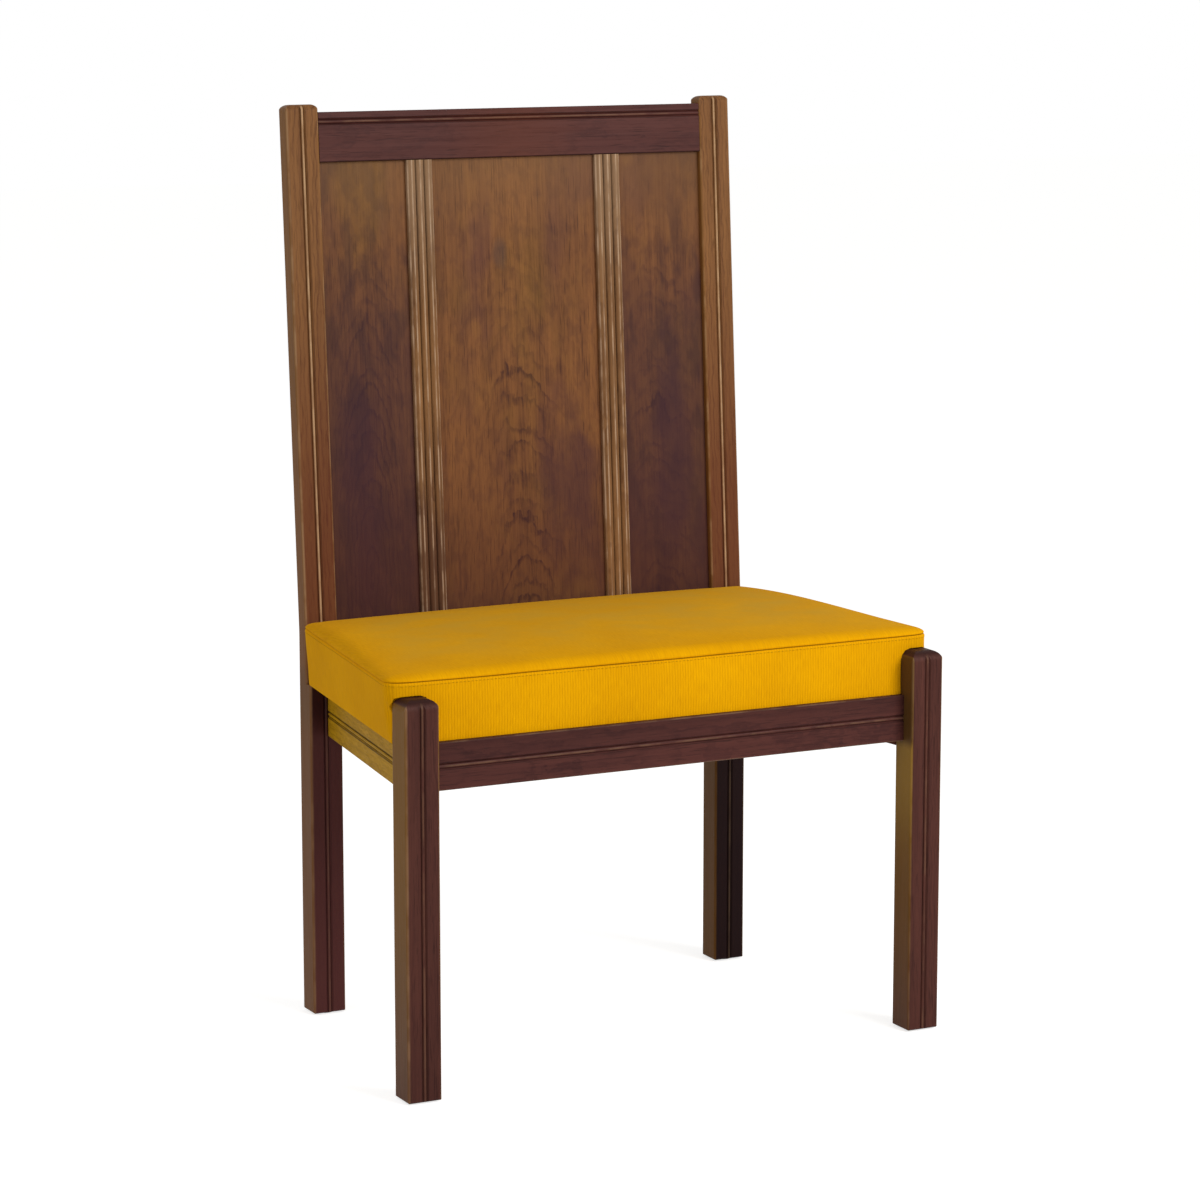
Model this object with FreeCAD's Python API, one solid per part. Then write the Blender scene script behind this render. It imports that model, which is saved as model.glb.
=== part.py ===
import FreeCAD, Part
import math
import os

from FreeCAD import Placement, Rotation, Vector

# Communion chair: a doweled hardwood frame with a raked panel back and a boxed slip seat.
# Millimetres, +Z up. The chair faces -Y, its left is the -X side, and the origin lies on the floor
# under the middle of the chair.

# Overall sizes
back_height = 1050.0
front_width = 666.0
rear_width = 570.0
floor_depth = 406.0
rake_run = 40.0
bend_height = 450.0
seat_height = 391.0

# Legs and posts
leg_width = 40.0
front_leg_depth = 36.0
rear_leg_depth = 33.0
post_depth = 22.0
front_leg_height = 442.0
arris_radius = 3.0
leg_top_radius = 12.0
post_top_radius = 8.0
foot_chamfer = 1.5

# Quirked bead run along the show faces
bead_width = 4.4
bead_drop = 0.2
quirk_span = 8.0
quirk_depth = 1.8

# Seat rails
rail_thickness = 18.0
rail_arris = 1.5
rail_bead_rise = 26.5
front_rail_height = 53.0
side_rail_height = 61.5

# Back frame and panel
back_rail_recess = 1.0
top_rail_height = 57.0
top_rail_drop = 9.0
top_rail_bead_drop = 11.0
lower_rail_height = 40.0
lower_rail_drop = 2.0
lower_rail_thickness = 18.0
lower_rail_recess = 2.0
panel_recess = 7.0
panel_thickness = 8.0
groove_depth = 8.0
panel_play = 1.0

# Reeded mouldings planted on the panel
moulding_centre = 121.0
moulding_width = 32.0
moulding_thickness = 7.0
moulding_edge_height = 4.2
moulding_reeds = 3
moulding_foot_gap = 1.5

# Slip seat
seat_front_setback = 24.0
seat_corner_radius = 14.0
seat_top_radius = 10.0
seat_thickness = 75.0
board_thickness = 12.0
cover_thickness = 1.5
seat_clearance = 0.3

# Corner blocks and fastenings
block_arm = 58.0
block_tip = 8.0
block_height = 34.0
block_drop = 2.0
block_screw_at = 44.0
block_screw_seat = 14.0
seat_screw_at = 22.0
screw_radius = 2.0
screw_head_radius = 4.0
screw_head_height = 2.6
screw_bite = 10.0
pocket_radius = 4.8
seat_screw_bite = 9.0
dowel_radius = 4.0
dowel_length = 34.0
dowel_glue_space = 1.0
glide_height = 2.0
glide_radius = 11.0
glide_edge = 0.8
glide_pin_radius = 1.6
glide_pin_length = 13.0
pin_sides = 8

# Places that follow from the sizes above
rake = math.atan2(rake_run, back_height - bend_height)
rake_length = math.hypot(rake_run, back_height - bend_height)
top_rear_arc_y = (post_depth - post_top_radius) * math.cos(rake)
top_rear_arc_y += (rake_length - post_top_radius) * math.sin(rake)
overall_depth = floor_depth - post_depth + top_rear_arc_y + post_top_radius
y_front = -overall_depth / 2
y_rear = y_front + floor_depth
y_front_leg_back = y_front + front_leg_depth
y_rear_leg_front = y_rear - rear_leg_depth
y_post_front = y_rear - post_depth
front_leg_x = (front_width - leg_width) / 2
rear_leg_x = (rear_width - leg_width) / 2
front_inner_x = front_leg_x - leg_width / 2
rear_inner_x = rear_leg_x - leg_width / 2
side_run = y_rear_leg_front - y_front_leg_back
splay = math.atan2(front_inner_x - rear_inner_x, side_run)
side_rail_inset = leg_width - rail_thickness / math.cos(splay)
side_rail_offset = rail_thickness / math.cos(splay) / 2
block_top = seat_height - block_drop
top_rail_top = rake_length - top_rail_drop
top_rail_bottom = top_rail_top - top_rail_height
lower_rail_top = bend_height - lower_rail_drop
seat_top = seat_height + seat_thickness

# The back leans about the line where the posts bend, at their front face.
back_frame = Placement(Vector(0, y_post_front, bend_height), Rotation(Vector(1, 0, 0), -math.degrees(rake)))

# Section axes turned so that a section's width stands up and its show face looks forward or to the left.
face_forward = Rotation(Vector(0, 1, 0), -90)
face_left = Rotation(Vector(1, 1, 1), -120)

# Corner style of a sweep: the two straight runs meet in a mitre.
mitred_corner = 1

# Points nearer to each other than this count as one point.
same_point = 0.001

# Dowel heights are staggered so that dowels meeting in one leg pass clear of each other.
front_dowel_heights = (352.0, 378.0)
side_dowel_heights = (339.0, 365.0)
lower_dowel_heights = (416.0, 430.0)
top_dowel_offsets = (20.0, 42.0)


def one_solid(shape):
    """The single solid of a shape, with faces that lie on one surface joined."""
    solids = shape.removeSplitter().Solids
    if len(solids) != 1:
        raise ValueError(f"expected one solid, got {len(solids)}")
    return solids[0]


def mirrored(shape):
    """The right-hand twin of a left-hand piece."""
    return shape.mirror(Vector(), Vector(1, 0, 0))


def closed_face(start, *steps):
    """Face inside a path: a point ends a straight edge, a pair of points is an arc's middle and end."""
    edges = []
    here = start
    for step in (*steps, start):
        if isinstance(step, tuple):
            edges.append(Part.Arc(here, *step).toShape())
            here = step[1]
        elif not here.isEqual(step, same_point):
            edges.append(Part.LineSegment(here, step).toShape())
            here = step
    return Part.Face(Part.Wire(edges))


def round_cut(radius):
    """How far the middle of a rounded square corner keeps from each side's line."""
    return radius * (1 - math.sqrt(0.5))


def rounded_polygon(points, radius):
    """Face of a polygon whose corners are rounded."""
    path = []
    for index, corner in enumerate(points):
        before = (points[index - 1] - corner).normalize()
        after = (points[(index + 1) % len(points)] - corner).normalize()
        half_angle = before.getAngle(after) / 2
        reach = radius / math.tan(half_angle)
        inward = (before + after).normalize()
        middle = corner + inward * (radius / math.sin(half_angle) - radius)
        path += [corner + before * reach, (middle, corner + after * reach)]
    return closed_face(*path)


def bead_path(centre):
    """Path of a quirked bead along a show face: down one quirk, over the bead and up the other."""
    return [
        Vector(centre - quirk_span / 2, 0),
        Vector(centre - bead_width / 2, quirk_depth),
        (Vector(centre, bead_drop), Vector(centre + bead_width / 2, quirk_depth)),
        Vector(centre + quirk_span / 2, 0),
    ]


def bar_section(width, depth, radius, bead_at=None):
    """Section of a bar, width about X = 0 and depth from the show face at Y = 0, with any bead there."""
    half = width / 2
    cut = round_cut(radius)
    bead = [] if bead_at is None else bead_path(bead_at)
    return closed_face(
        Vector(-half + radius, 0),
        *bead,
        Vector(half - radius, 0),
        (Vector(half - cut, cut), Vector(half, radius)),
        Vector(half, depth - radius),
        (Vector(half - cut, depth - cut), Vector(half - radius, depth)),
        Vector(-half + radius, depth),
        (Vector(-half + cut, depth - cut), Vector(-half, depth - radius)),
        Vector(-half, radius),
        (Vector(-half + cut, cut), Vector(-half + radius, 0)),
    )


def eased_outline(width, height, top_radius):
    """Upright outline from X = 0 to width: rounded top corners and a chamfered foot."""
    cut = round_cut(top_radius)
    return closed_face(
        Vector(foot_chamfer, 0, 0),
        Vector(width - foot_chamfer, 0, 0),
        Vector(width, 0, foot_chamfer),
        Vector(width, 0, height - top_radius),
        (Vector(width - cut, 0, height - cut), Vector(width - top_radius, 0, height)),
        Vector(top_radius, 0, height),
        (Vector(cut, 0, height - cut), Vector(0, 0, height - top_radius)),
        Vector(0, 0, foot_chamfer),
    )


def eased_envelope(width, depth, height, top_radius):
    """Block over -width/2 to width/2 and 0 to depth whose top edges are rounded and foot edges chamfered."""
    front_view = eased_outline(width, height, top_radius)
    front_view.translate(Vector(-width / 2, 0, 0))
    side_view = eased_outline(depth, height, top_radius)
    side_view.rotate(Vector(), Vector(0, 0, 1), 90)
    side_view.translate(Vector(-width / 2, 0, 0))
    return front_view.extrude(Vector(0, depth, 0)).common(side_view.extrude(Vector(width, 0, 0)))


def box_between(low, high):
    """Upright box from its lowest to its highest corner."""
    size = high - low
    return Part.makeBox(size.x, size.y, size.z, low)


def pin(radius, length, foot, axis):
    """Pin with a few flats round it, from its foot along an axis."""
    upright = Placement(foot, Rotation(Vector(0, 0, 1), axis))
    turns = [2 * math.pi * (side + 0.5) / pin_sides for side in range(pin_sides)]
    rim = [Vector(radius * math.cos(turn), radius * math.sin(turn), 0) for turn in turns]
    corners = [upright.multVec(point) for point in rim]
    return closed_face(*corners).extrude(axis * length)


def dowels(places, axis, spare=0.0):
    """Dowels centred on the joint faces at the given places, or the holes for them with spare length."""
    length = dowel_length + 2 * spare
    return [pin(dowel_radius, length, place - axis * (length / 2), axis) for place in places]


def dowel_holes(places, axis):
    """Holes a little deeper than the dowels, to leave room for glue."""
    return dowels(places, axis, dowel_glue_space)


def at_both_sides(places):
    """The given left-hand places and their right-hand twins."""
    return [Vector(sign * place.x, place.y, place.z) for sign in (1, -1) for place in places]


across = Vector(1, 0, 0)
along = Vector(0, 1, 0)
front_rail_y = y_front_leg_back - rail_thickness / 2
rear_rail_y = y_rear_leg_front + rail_thickness / 2
lower_rail_y = y_post_front + lower_rail_recess + lower_rail_thickness / 2
front_rail_ends = at_both_sides([Vector(-front_inner_x, front_rail_y, z) for z in front_dowel_heights])
rear_rail_ends = at_both_sides([Vector(-rear_inner_x, rear_rail_y, z) for z in front_dowel_heights])
lower_rail_ends = at_both_sides([Vector(-rear_inner_x, lower_rail_y, z) for z in lower_dowel_heights])
top_rail_joints = [Vector(-rear_inner_x, post_depth / 2, top_rail_bottom + z) for z in top_dowel_offsets]
top_rail_ends = at_both_sides([back_frame.multVec(joint) for joint in top_rail_joints])
side_rail_ends = at_both_sides(
    [Vector(-front_inner_x - side_rail_offset, y_front_leg_back, z) for z in side_dowel_heights]
    + [Vector(-rear_inner_x - side_rail_offset, y_rear_leg_front, z) for z in side_dowel_heights]
)


def panel_room():
    """Space that the back panel takes, grooves included, in the leaning frame of the back."""
    reach = rear_inner_x + groove_depth
    low = Vector(-reach, panel_recess, -lower_rail_drop - groove_depth)
    high = Vector(reach, panel_recess + panel_thickness, top_rail_bottom + groove_depth)
    return low, high


def panel_groove():
    """Cutter for the grooves that hold the panel in the posts and the back rails."""
    return box_between(*panel_room()).transformed(back_frame.toMatrix())


def glide_places():
    """Centres of the four feet on the floor."""
    front = Vector(-front_leg_x, y_front + front_leg_depth / 2, 0)
    rear = Vector(-rear_leg_x, y_rear - rear_leg_depth / 2, 0)
    return at_both_sides([front, rear])


def glide(place):
    """Nail-on glide: a low disc with an eased edge and a pin that is driven up into the leg."""
    profile = closed_face(
        Vector(0, 0, 0),
        Vector(glide_radius - glide_edge, 0, 0),
        Vector(glide_radius, 0, glide_edge),
        Vector(glide_radius, 0, glide_height),
        Vector(0, 0, glide_height),
    )
    disc = profile.revolve(Vector(), Vector(0, 0, 1), 360)
    nail = pin(glide_pin_radius, glide_height + glide_pin_length, Vector(), Vector(0, 0, 1))
    whole = one_solid(disc.fuse(nail))
    whole.translate(place)
    return whole


def front_leg():
    """Left front leg: beaded on its front face, with a rounded top that stands above the seat rails."""
    height = front_leg_height - glide_height
    leg = bar_section(leg_width, front_leg_depth, arris_radius, 0).extrude(Vector(0, 0, height))
    leg = leg.common(eased_envelope(leg_width, front_leg_depth, height, leg_top_radius))
    leg.translate(Vector(-front_leg_x, y_front, glide_height))
    holes = dowel_holes(front_rail_ends, across) + dowel_holes(side_rail_ends, along)
    return one_solid(leg.cut(holes + [glide(place) for place in glide_places()]))


def rear_post():
    """Left rear leg and back post in one piece: stepped back above the seat rails, then raked to the top."""
    leg_height = seat_height - glide_height
    leg = bar_section(leg_width, rear_leg_depth, arris_radius, 0).extrude(Vector(0, 0, leg_height))
    leg = leg.common(eased_envelope(leg_width, rear_leg_depth, leg_height + leg_top_radius, leg_top_radius))
    leg.translate(Vector(-rear_leg_x, y_rear_leg_front, glide_height))

    section = bar_section(leg_width, post_depth, arris_radius, 0)
    section.translate(Vector(-rear_leg_x, y_post_front, seat_height))
    line = Part.makePolygon([
        Vector(-rear_leg_x, y_post_front, seat_height),
        Vector(-rear_leg_x, y_post_front, bend_height),
        Vector(-rear_leg_x, y_post_front + rake_run, back_height),
    ])
    post = line.makePipeShell([section.OuterWire], True, False, mitred_corner)

    upper = eased_envelope(leg_width, post_depth, rake_length, post_top_radius)
    upper.translate(Vector(-rear_leg_x, 0, 0))
    waste = Part.makeBox(2 * leg_width, 2 * post_depth, 2 * post_top_radius)
    waste.translate(Vector(-rear_leg_x - leg_width, -post_depth / 2, rake_length - 2 * post_top_radius))
    post = post.cut(waste.cut(upper).transformed(back_frame.toMatrix()))

    holes = dowel_holes(side_rail_ends, along)
    for ends in (rear_rail_ends, lower_rail_ends, top_rail_ends):
        holes += dowel_holes(ends, across)
    holes += [glide(place) for place in glide_places()]
    return one_solid(leg.fuse(post).cut(holes + [panel_groove()]))


def cross_rail(length, height, thickness, bead_at=None):
    """Rail across the chair, centred on X = 0 and Z = 0, with its show face at Y = 0 looking forward."""
    rail = bar_section(height, thickness, rail_arris, bead_at).extrude(Vector(0, 0, length))
    return rail.transformed(Placement(Vector(length / 2, 0, 0), face_forward).toMatrix())


def front_seat_rail():
    """Rail between the front legs, set back from their faces and beaded along its middle."""
    bead_at = rail_bead_rise - front_rail_height / 2
    rail = cross_rail(2 * front_inner_x, front_rail_height, rail_thickness, bead_at)
    rail.translate(Vector(0, front_rail_y - rail_thickness / 2, seat_height - front_rail_height / 2))
    return one_solid(rail.cut(dowel_holes(front_rail_ends, across) + block_screws()))


def rear_seat_rail():
    """Plain rail between the rear legs, flush with their front faces."""
    rail = cross_rail(2 * rear_inner_x, side_rail_height, rail_thickness)
    rail.translate(Vector(0, y_rear_leg_front, seat_height - side_rail_height / 2))
    return one_solid(rail.cut(dowel_holes(rear_rail_ends, across) + block_screws()))


def side_seat_rail():
    """Left rail from front leg to rear leg, splayed in plan, with its bead on the outer face."""
    overrun = front_leg_depth
    length = (side_run + 2 * overrun) / math.cos(splay)
    bead_at = rail_bead_rise - side_rail_height / 2
    rail = bar_section(side_rail_height, rail_thickness, rail_arris, bead_at).extrude(Vector(0, 0, length))
    turn = Rotation(Vector(0, 0, 1), -math.degrees(splay)).multiply(face_left)
    outer_x = -front_width / 2 + side_rail_inset - overrun * math.tan(splay)
    start = Vector(outer_x, y_front_leg_back - overrun, seat_height - side_rail_height / 2)
    rail = rail.transformed(Placement(start, turn).toMatrix())
    gap_low = Vector(-front_width, y_front_leg_back, 0)
    gap_high = Vector(0, y_rear_leg_front, back_height)
    rail = rail.common(box_between(gap_low, gap_high))
    return one_solid(rail.cut(dowel_holes(side_rail_ends, along) + block_screws()))


def top_back_rail():
    """Rail between the post tops, leaning with them, its bead near the upper edge."""
    bead_at = top_rail_height / 2 - top_rail_bead_drop
    rail = cross_rail(2 * rear_inner_x, top_rail_height, post_depth - 2 * back_rail_recess, bead_at)
    rail.translate(Vector(0, back_rail_recess, top_rail_bottom + top_rail_height / 2))
    rail = rail.transformed(back_frame.toMatrix())
    return one_solid(rail.cut(dowel_holes(top_rail_ends, across) + [panel_groove()]))


def lower_back_rail():
    """Plain rail behind the cushion that carries the foot of the panel."""
    rail = cross_rail(2 * rear_inner_x, lower_rail_height, lower_rail_thickness)
    rail.translate(Vector(0, y_post_front + lower_rail_recess, lower_rail_top - lower_rail_height / 2))
    return one_solid(rail.cut(dowel_holes(lower_rail_ends, across) + [panel_groove()]))


def back_panel():
    """Veneered panel held in the grooves with a little play at its edges."""
    low, high = panel_room()
    play = Vector(panel_play, 0, panel_play)
    return box_between(low + play, high - play).transformed(back_frame.toMatrix())


def moulding_section():
    """Section of a reeded moulding, its back at Y = 0: square edges and a row of rounded reeds."""
    half = moulding_width / 2
    reed = moulding_width / moulding_reeds
    reeds = []
    for index in range(moulding_reeds):
        right = half - index * reed
        crown = Vector(right - reed / 2, -moulding_thickness)
        reeds.append((crown, Vector(right - reed, -moulding_edge_height)))
    return closed_face(Vector(half, 0), Vector(half, -moulding_edge_height), *reeds, Vector(-half, 0))


def panel_moulding():
    """Left reeded moulding, from the lower back rail up to the top rail."""
    strip = moulding_section().extrude(Vector(0, 0, top_rail_bottom + moulding_foot_gap))
    strip.translate(Vector(-moulding_centre, panel_recess, -moulding_foot_gap))
    return one_solid(strip.transformed(back_frame.toMatrix()))


def seat_side_x(y, inset):
    """Half width of the seat at a place along its depth, drawn in by an inset."""
    slope = (front_width - rear_width) / 2 / side_run
    return front_width / 2 - (y - y_front_leg_back) * slope - inset / math.cos(splay)


def seat_block(inset, bottom, top, top_radius):
    """Tapered block of the slip seat, drawn in by an inset and notched round the front legs."""
    front = y_front + seat_front_setback + inset
    rear = y_post_front - seat_clearance - inset
    front_x = seat_side_x(front, inset)
    rear_x = seat_side_x(rear, inset)
    plan = [Vector(-front_x, front), Vector(front_x, front), Vector(rear_x, rear), Vector(-rear_x, rear)]
    block = rounded_polygon(plan, seat_corner_radius - inset).extrude(Vector(0, 0, top - bottom))
    block.translate(Vector(0, 0, bottom))
    if top_radius:
        rim = [edge for edge in block.Edges if edge.BoundBox.ZMin > top - same_point]
        block = block.makeFillet(top_radius, rim)
    gap = seat_clearance + inset
    notch_low = Vector(front_inner_x - gap, y_front, 0)
    notch_high = Vector(front_width, y_front_leg_back + gap, front_leg_height + gap)
    notch = box_between(notch_low, notch_high)
    return block.cut([notch, mirrored(notch)])


def seat_board():
    """Plywood board that rests on the rails and carries the padding."""
    return one_solid(
        seat_block(cover_thickness, seat_height, seat_height + board_thickness, 0).cut(seat_screws())
    )


def seat_foam():
    """Foam slab on the board, inside the cover."""
    top = seat_top - cover_thickness
    return one_solid(
        seat_block(cover_thickness, seat_height + board_thickness, top, seat_top_radius - cover_thickness)
    )


def seat_cover():
    """Fabric cover with boxed sides, drawn down round the foam and the edge of the board."""
    outside = seat_block(0, seat_height, seat_top, seat_top_radius)
    room_top = seat_top - cover_thickness
    room = seat_block(cover_thickness, seat_height, room_top, seat_top_radius - cover_thickness)
    return one_solid(outside.cut(room))


def screw(head_seat, direction, length):
    """Screw driven from the seat of its head: a low head and a plain shank."""
    head = pin(screw_head_radius, screw_head_height, head_seat - direction * screw_head_height, direction)
    return one_solid(head.fuse(pin(screw_radius, length, head_seat, direction)))


def corner_axes():
    """Left inner corners of the seat frame: the point, and the directions along its cross and side rails."""
    rearward = Vector(math.sin(splay), math.cos(splay), 0)
    front = Vector(-front_inner_x, y_front_leg_back, 0)
    rear = Vector(-rear_inner_x, y_rear_leg_front, 0)
    return {"front": (front, across, rearward), "rear": (rear, across, rearward * -1)}


def inward_normals(along_side):
    """Directions that point from the cross rail and from the side rail into the seat frame."""
    from_cross = Vector(0, math.copysign(1, along_side.y), 0)
    from_side = Vector(math.cos(splay), -math.sin(splay), 0)
    return from_cross, from_side


def block_screw_lines(corner, along_cross, along_side):
    """Head seats and directions of the two screws that hold a corner block to its rails."""
    from_cross, from_side = inward_normals(along_side)
    middle = Vector(0, 0, block_top - block_height / 2)
    into_cross = corner + along_cross * block_screw_at + from_cross * block_screw_seat + middle
    into_side = corner + along_side * block_screw_at + from_side * block_screw_seat + middle
    return [(into_cross, from_cross * -1), (into_side, from_side * -1)]


def left_block_screws():
    """Screws of the two left corner blocks."""
    length = block_screw_seat + screw_bite
    return [
        screw(seat, direction, length)
        for axes in corner_axes().values()
        for seat, direction in block_screw_lines(*axes)
    ]


def block_screws():
    """Screws of all four corner blocks."""
    left = left_block_screws()
    return left + [mirrored(item) for item in left]


def seat_screws():
    """Screws that rise through the corner blocks into the seat board."""
    length = block_height + block_drop + seat_screw_bite
    left = [
        screw(corner + (along_cross + along_side) * seat_screw_at + Vector(0, 0, block_top - block_height),
              Vector(0, 0, 1), length)
        for corner, along_cross, along_side in corner_axes().values()
    ]
    return left + [mirrored(item) for item in left]


def corner_block(corner, along_cross, along_side):
    """Left corner block: a triangle with blunt tips in the angle of two rails, bored for its screws."""
    from_cross, from_side = inward_normals(along_side)
    cross_tip = corner + along_cross * block_arm
    side_tip = corner + along_side * block_arm
    blunt_edge = [cross_tip, cross_tip + from_cross * block_tip, side_tip + from_side * block_tip, side_tip]
    block = closed_face(corner, *blunt_edge).extrude(Vector(0, 0, block_height))
    block.translate(Vector(0, 0, block_top - block_height))
    pockets = [
        pin(pocket_radius, block_arm, seat, direction * -1)
        for seat, direction in block_screw_lines(corner, along_cross, along_side)
    ]
    return one_solid(block.cut(pockets + left_block_screws() + seat_screws()))


def with_twin(name, left_piece):
    """A left-hand piece and its right-hand twin under their node names."""
    return {f"{name}_left": left_piece, f"{name}_right": mirrored(left_piece)}


def chair_pieces():
    """Every piece of the chair by node name; like fastenings share a node."""
    pieces = {
        "front_seat_rail": front_seat_rail(),
        "rear_seat_rail": rear_seat_rail(),
        "top_back_rail": top_back_rail(),
        "lower_back_rail": lower_back_rail(),
        "back_panel": back_panel(),
        "seat_board": seat_board(),
        "seat_foam": seat_foam(),
        "seat_cover": seat_cover(),
        "corner_block_screws": Part.makeCompound(block_screws()),
        "seat_screws": Part.makeCompound(seat_screws()),
        "front_rail_dowels": Part.makeCompound(dowels(front_rail_ends, across)),
        "side_rail_dowels": Part.makeCompound(dowels(side_rail_ends, along)),
        "rear_rail_dowels": Part.makeCompound(dowels(rear_rail_ends, across)),
        "lower_rail_dowels": Part.makeCompound(dowels(lower_rail_ends, across)),
        "top_rail_dowels": Part.makeCompound(dowels(top_rail_ends, across)),
        "leg_glides": Part.makeCompound([glide(place) for place in glide_places()]),
    }
    pieces.update(with_twin("front_leg", front_leg()))
    pieces.update(with_twin("rear_post", rear_post()))
    pieces.update(with_twin("side_seat_rail", side_seat_rail()))
    pieces.update(with_twin("panel_moulding", panel_moulding()))
    for place, axes in corner_axes().items():
        pieces.update(with_twin(f"corner_block_{place}", corner_block(*axes)))
    return pieces


os.makedirs("parts", exist_ok=True)
for node, shape in chair_pieces().items():
    shape.exportStep(f"parts/{node}.step")
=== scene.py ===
import math

import bmesh
import bpy
import numpy as np
from bpy.props import FloatProperty, FloatVectorProperty, IntProperty, PointerProperty
from mathutils import Euler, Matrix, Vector, noise


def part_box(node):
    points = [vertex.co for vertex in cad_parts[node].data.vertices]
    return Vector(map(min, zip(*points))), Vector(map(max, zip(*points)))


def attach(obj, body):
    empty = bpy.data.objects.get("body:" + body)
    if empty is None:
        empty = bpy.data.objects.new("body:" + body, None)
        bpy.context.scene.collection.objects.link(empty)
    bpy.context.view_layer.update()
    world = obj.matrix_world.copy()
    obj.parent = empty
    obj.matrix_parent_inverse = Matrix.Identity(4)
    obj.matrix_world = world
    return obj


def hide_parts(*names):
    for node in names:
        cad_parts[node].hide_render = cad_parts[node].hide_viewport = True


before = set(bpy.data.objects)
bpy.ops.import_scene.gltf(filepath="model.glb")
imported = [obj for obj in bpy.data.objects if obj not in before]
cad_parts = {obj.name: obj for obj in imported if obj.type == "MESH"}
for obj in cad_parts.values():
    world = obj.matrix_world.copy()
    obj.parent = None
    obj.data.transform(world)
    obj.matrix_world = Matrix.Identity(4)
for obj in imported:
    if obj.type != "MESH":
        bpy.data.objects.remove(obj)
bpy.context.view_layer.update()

bl_info = {
    "name": "Communion Chair",
    "version": (1, 0, 0),
    "blender": (4, 5, 0),
    "location": "3D View > Sidebar > Chair",
    "description": "Dresses a communion chair in stained oak and mustard cloth",
    "category": "Object",
}

BODY = "root"

# Places read from the frame, in metres
SEAT_LOW, SEAT_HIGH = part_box("seat_cover")
BOARD_LOW, BOARD_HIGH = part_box("seat_board")
LEG_LOW, LEG_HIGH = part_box("front_leg_right")
POST_LOW, POST_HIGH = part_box("rear_post_right")
FRONT_RAIL_LOW, FRONT_RAIL_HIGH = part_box("front_seat_rail")
SIDE_RAIL_LOW, SIDE_RAIL_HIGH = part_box("side_seat_rail_right")
MOULDING_LOW, MOULDING_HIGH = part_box("panel_moulding_right")
LEG_X = (LEG_LOW.x + LEG_HIGH.x) / 2
POST_X = (POST_LOW.x + POST_HIGH.x) / 2
MOULDING_X = (MOULDING_LOW.x + MOULDING_HIGH.x) / 2

# The back leans about the line where the posts bend.
BEND_Y = 0.161282
BEND_Z = 0.450
RAKE = math.atan2(0.040, 0.600)

# The posts step back above the seat.
POST_STEP = 0.011
POST_FRONT = BEND_Y - POST_STEP

# The bead of a seat rail lies this far above the rail's lower edge.
RAIL_BEAD_RISE = 0.0265

# From the bend up along the back to the top rail's bead and to its lower edge
TOP_BEAD_RISE = 0.58133
TOP_EDGE_RISE = 0.5360

# Quirks lie beside the crown of a bead, arrises and side faces beside the middle of a leg or a post.
QUIRKS = (0.0040, 0.0023)
LEG_QUIRKS = (0.0040, 0.0022)
QUIRK_WIDTH = 0.0009
ARRIS_OFF = 0.0188
SIDE_FACE = (0.0172, 0.0196)

# The side rails run in towards the rear.
SIDE_RUN = SIDE_RAIL_HIGH.y - SIDE_RAIL_LOW.y
SPLAY_SLOPE = (LEG_LOW.x - POST_LOW.x) / SIDE_RUN
SPLAY = math.atan(SPLAY_SLOPE)


def linear(code):
    """Scene-linear colour of a six-digit display colour code."""
    shares = [(code >> shift & 255) / 255 for shift in (16, 8, 0)]
    return tuple(c / 12.92 if c <= 0.04045 else ((c + 0.055) / 1.055) ** 2.4 for c in shares)


def opaque(colour):
    """Colour with full opacity, as a colour socket takes it."""
    return (*colour[:3], 1.0)


WORN_AND_LIT_ARRIS = linear(0x946E50)  # wear and painted highlight on the arrises at the chair's left
LAMP_AIM = Vector((0.0, 0.0, 0.5))  # place on the chair that the lamps look at


# Settings that a user would change


def tint(name, text, code):
    """Colour setting."""
    return FloatVectorProperty(
        name=name, description=text, subtype="COLOR", size=3, min=0.0, max=1.0, default=linear(code)
    )


def size(name, text, metres):
    """Length setting in metres."""
    return FloatProperty(
        name=name, description=text, default=metres, min=0.0, precision=4, subtype="DISTANCE", unit="LENGTH"
    )


def share(name, text, value):
    """Plain number setting."""
    return FloatProperty(name=name, description=text, default=value, min=0.0)


def angle(name, text, degrees):
    """Angle setting, given in degrees."""
    return FloatProperty(name=name, description=text, default=math.radians(degrees), unit="ROTATION")


def watts(name, text, power):
    """Lamp power setting."""
    return FloatProperty(name=name, description=text, default=power, unit="POWER")


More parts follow.
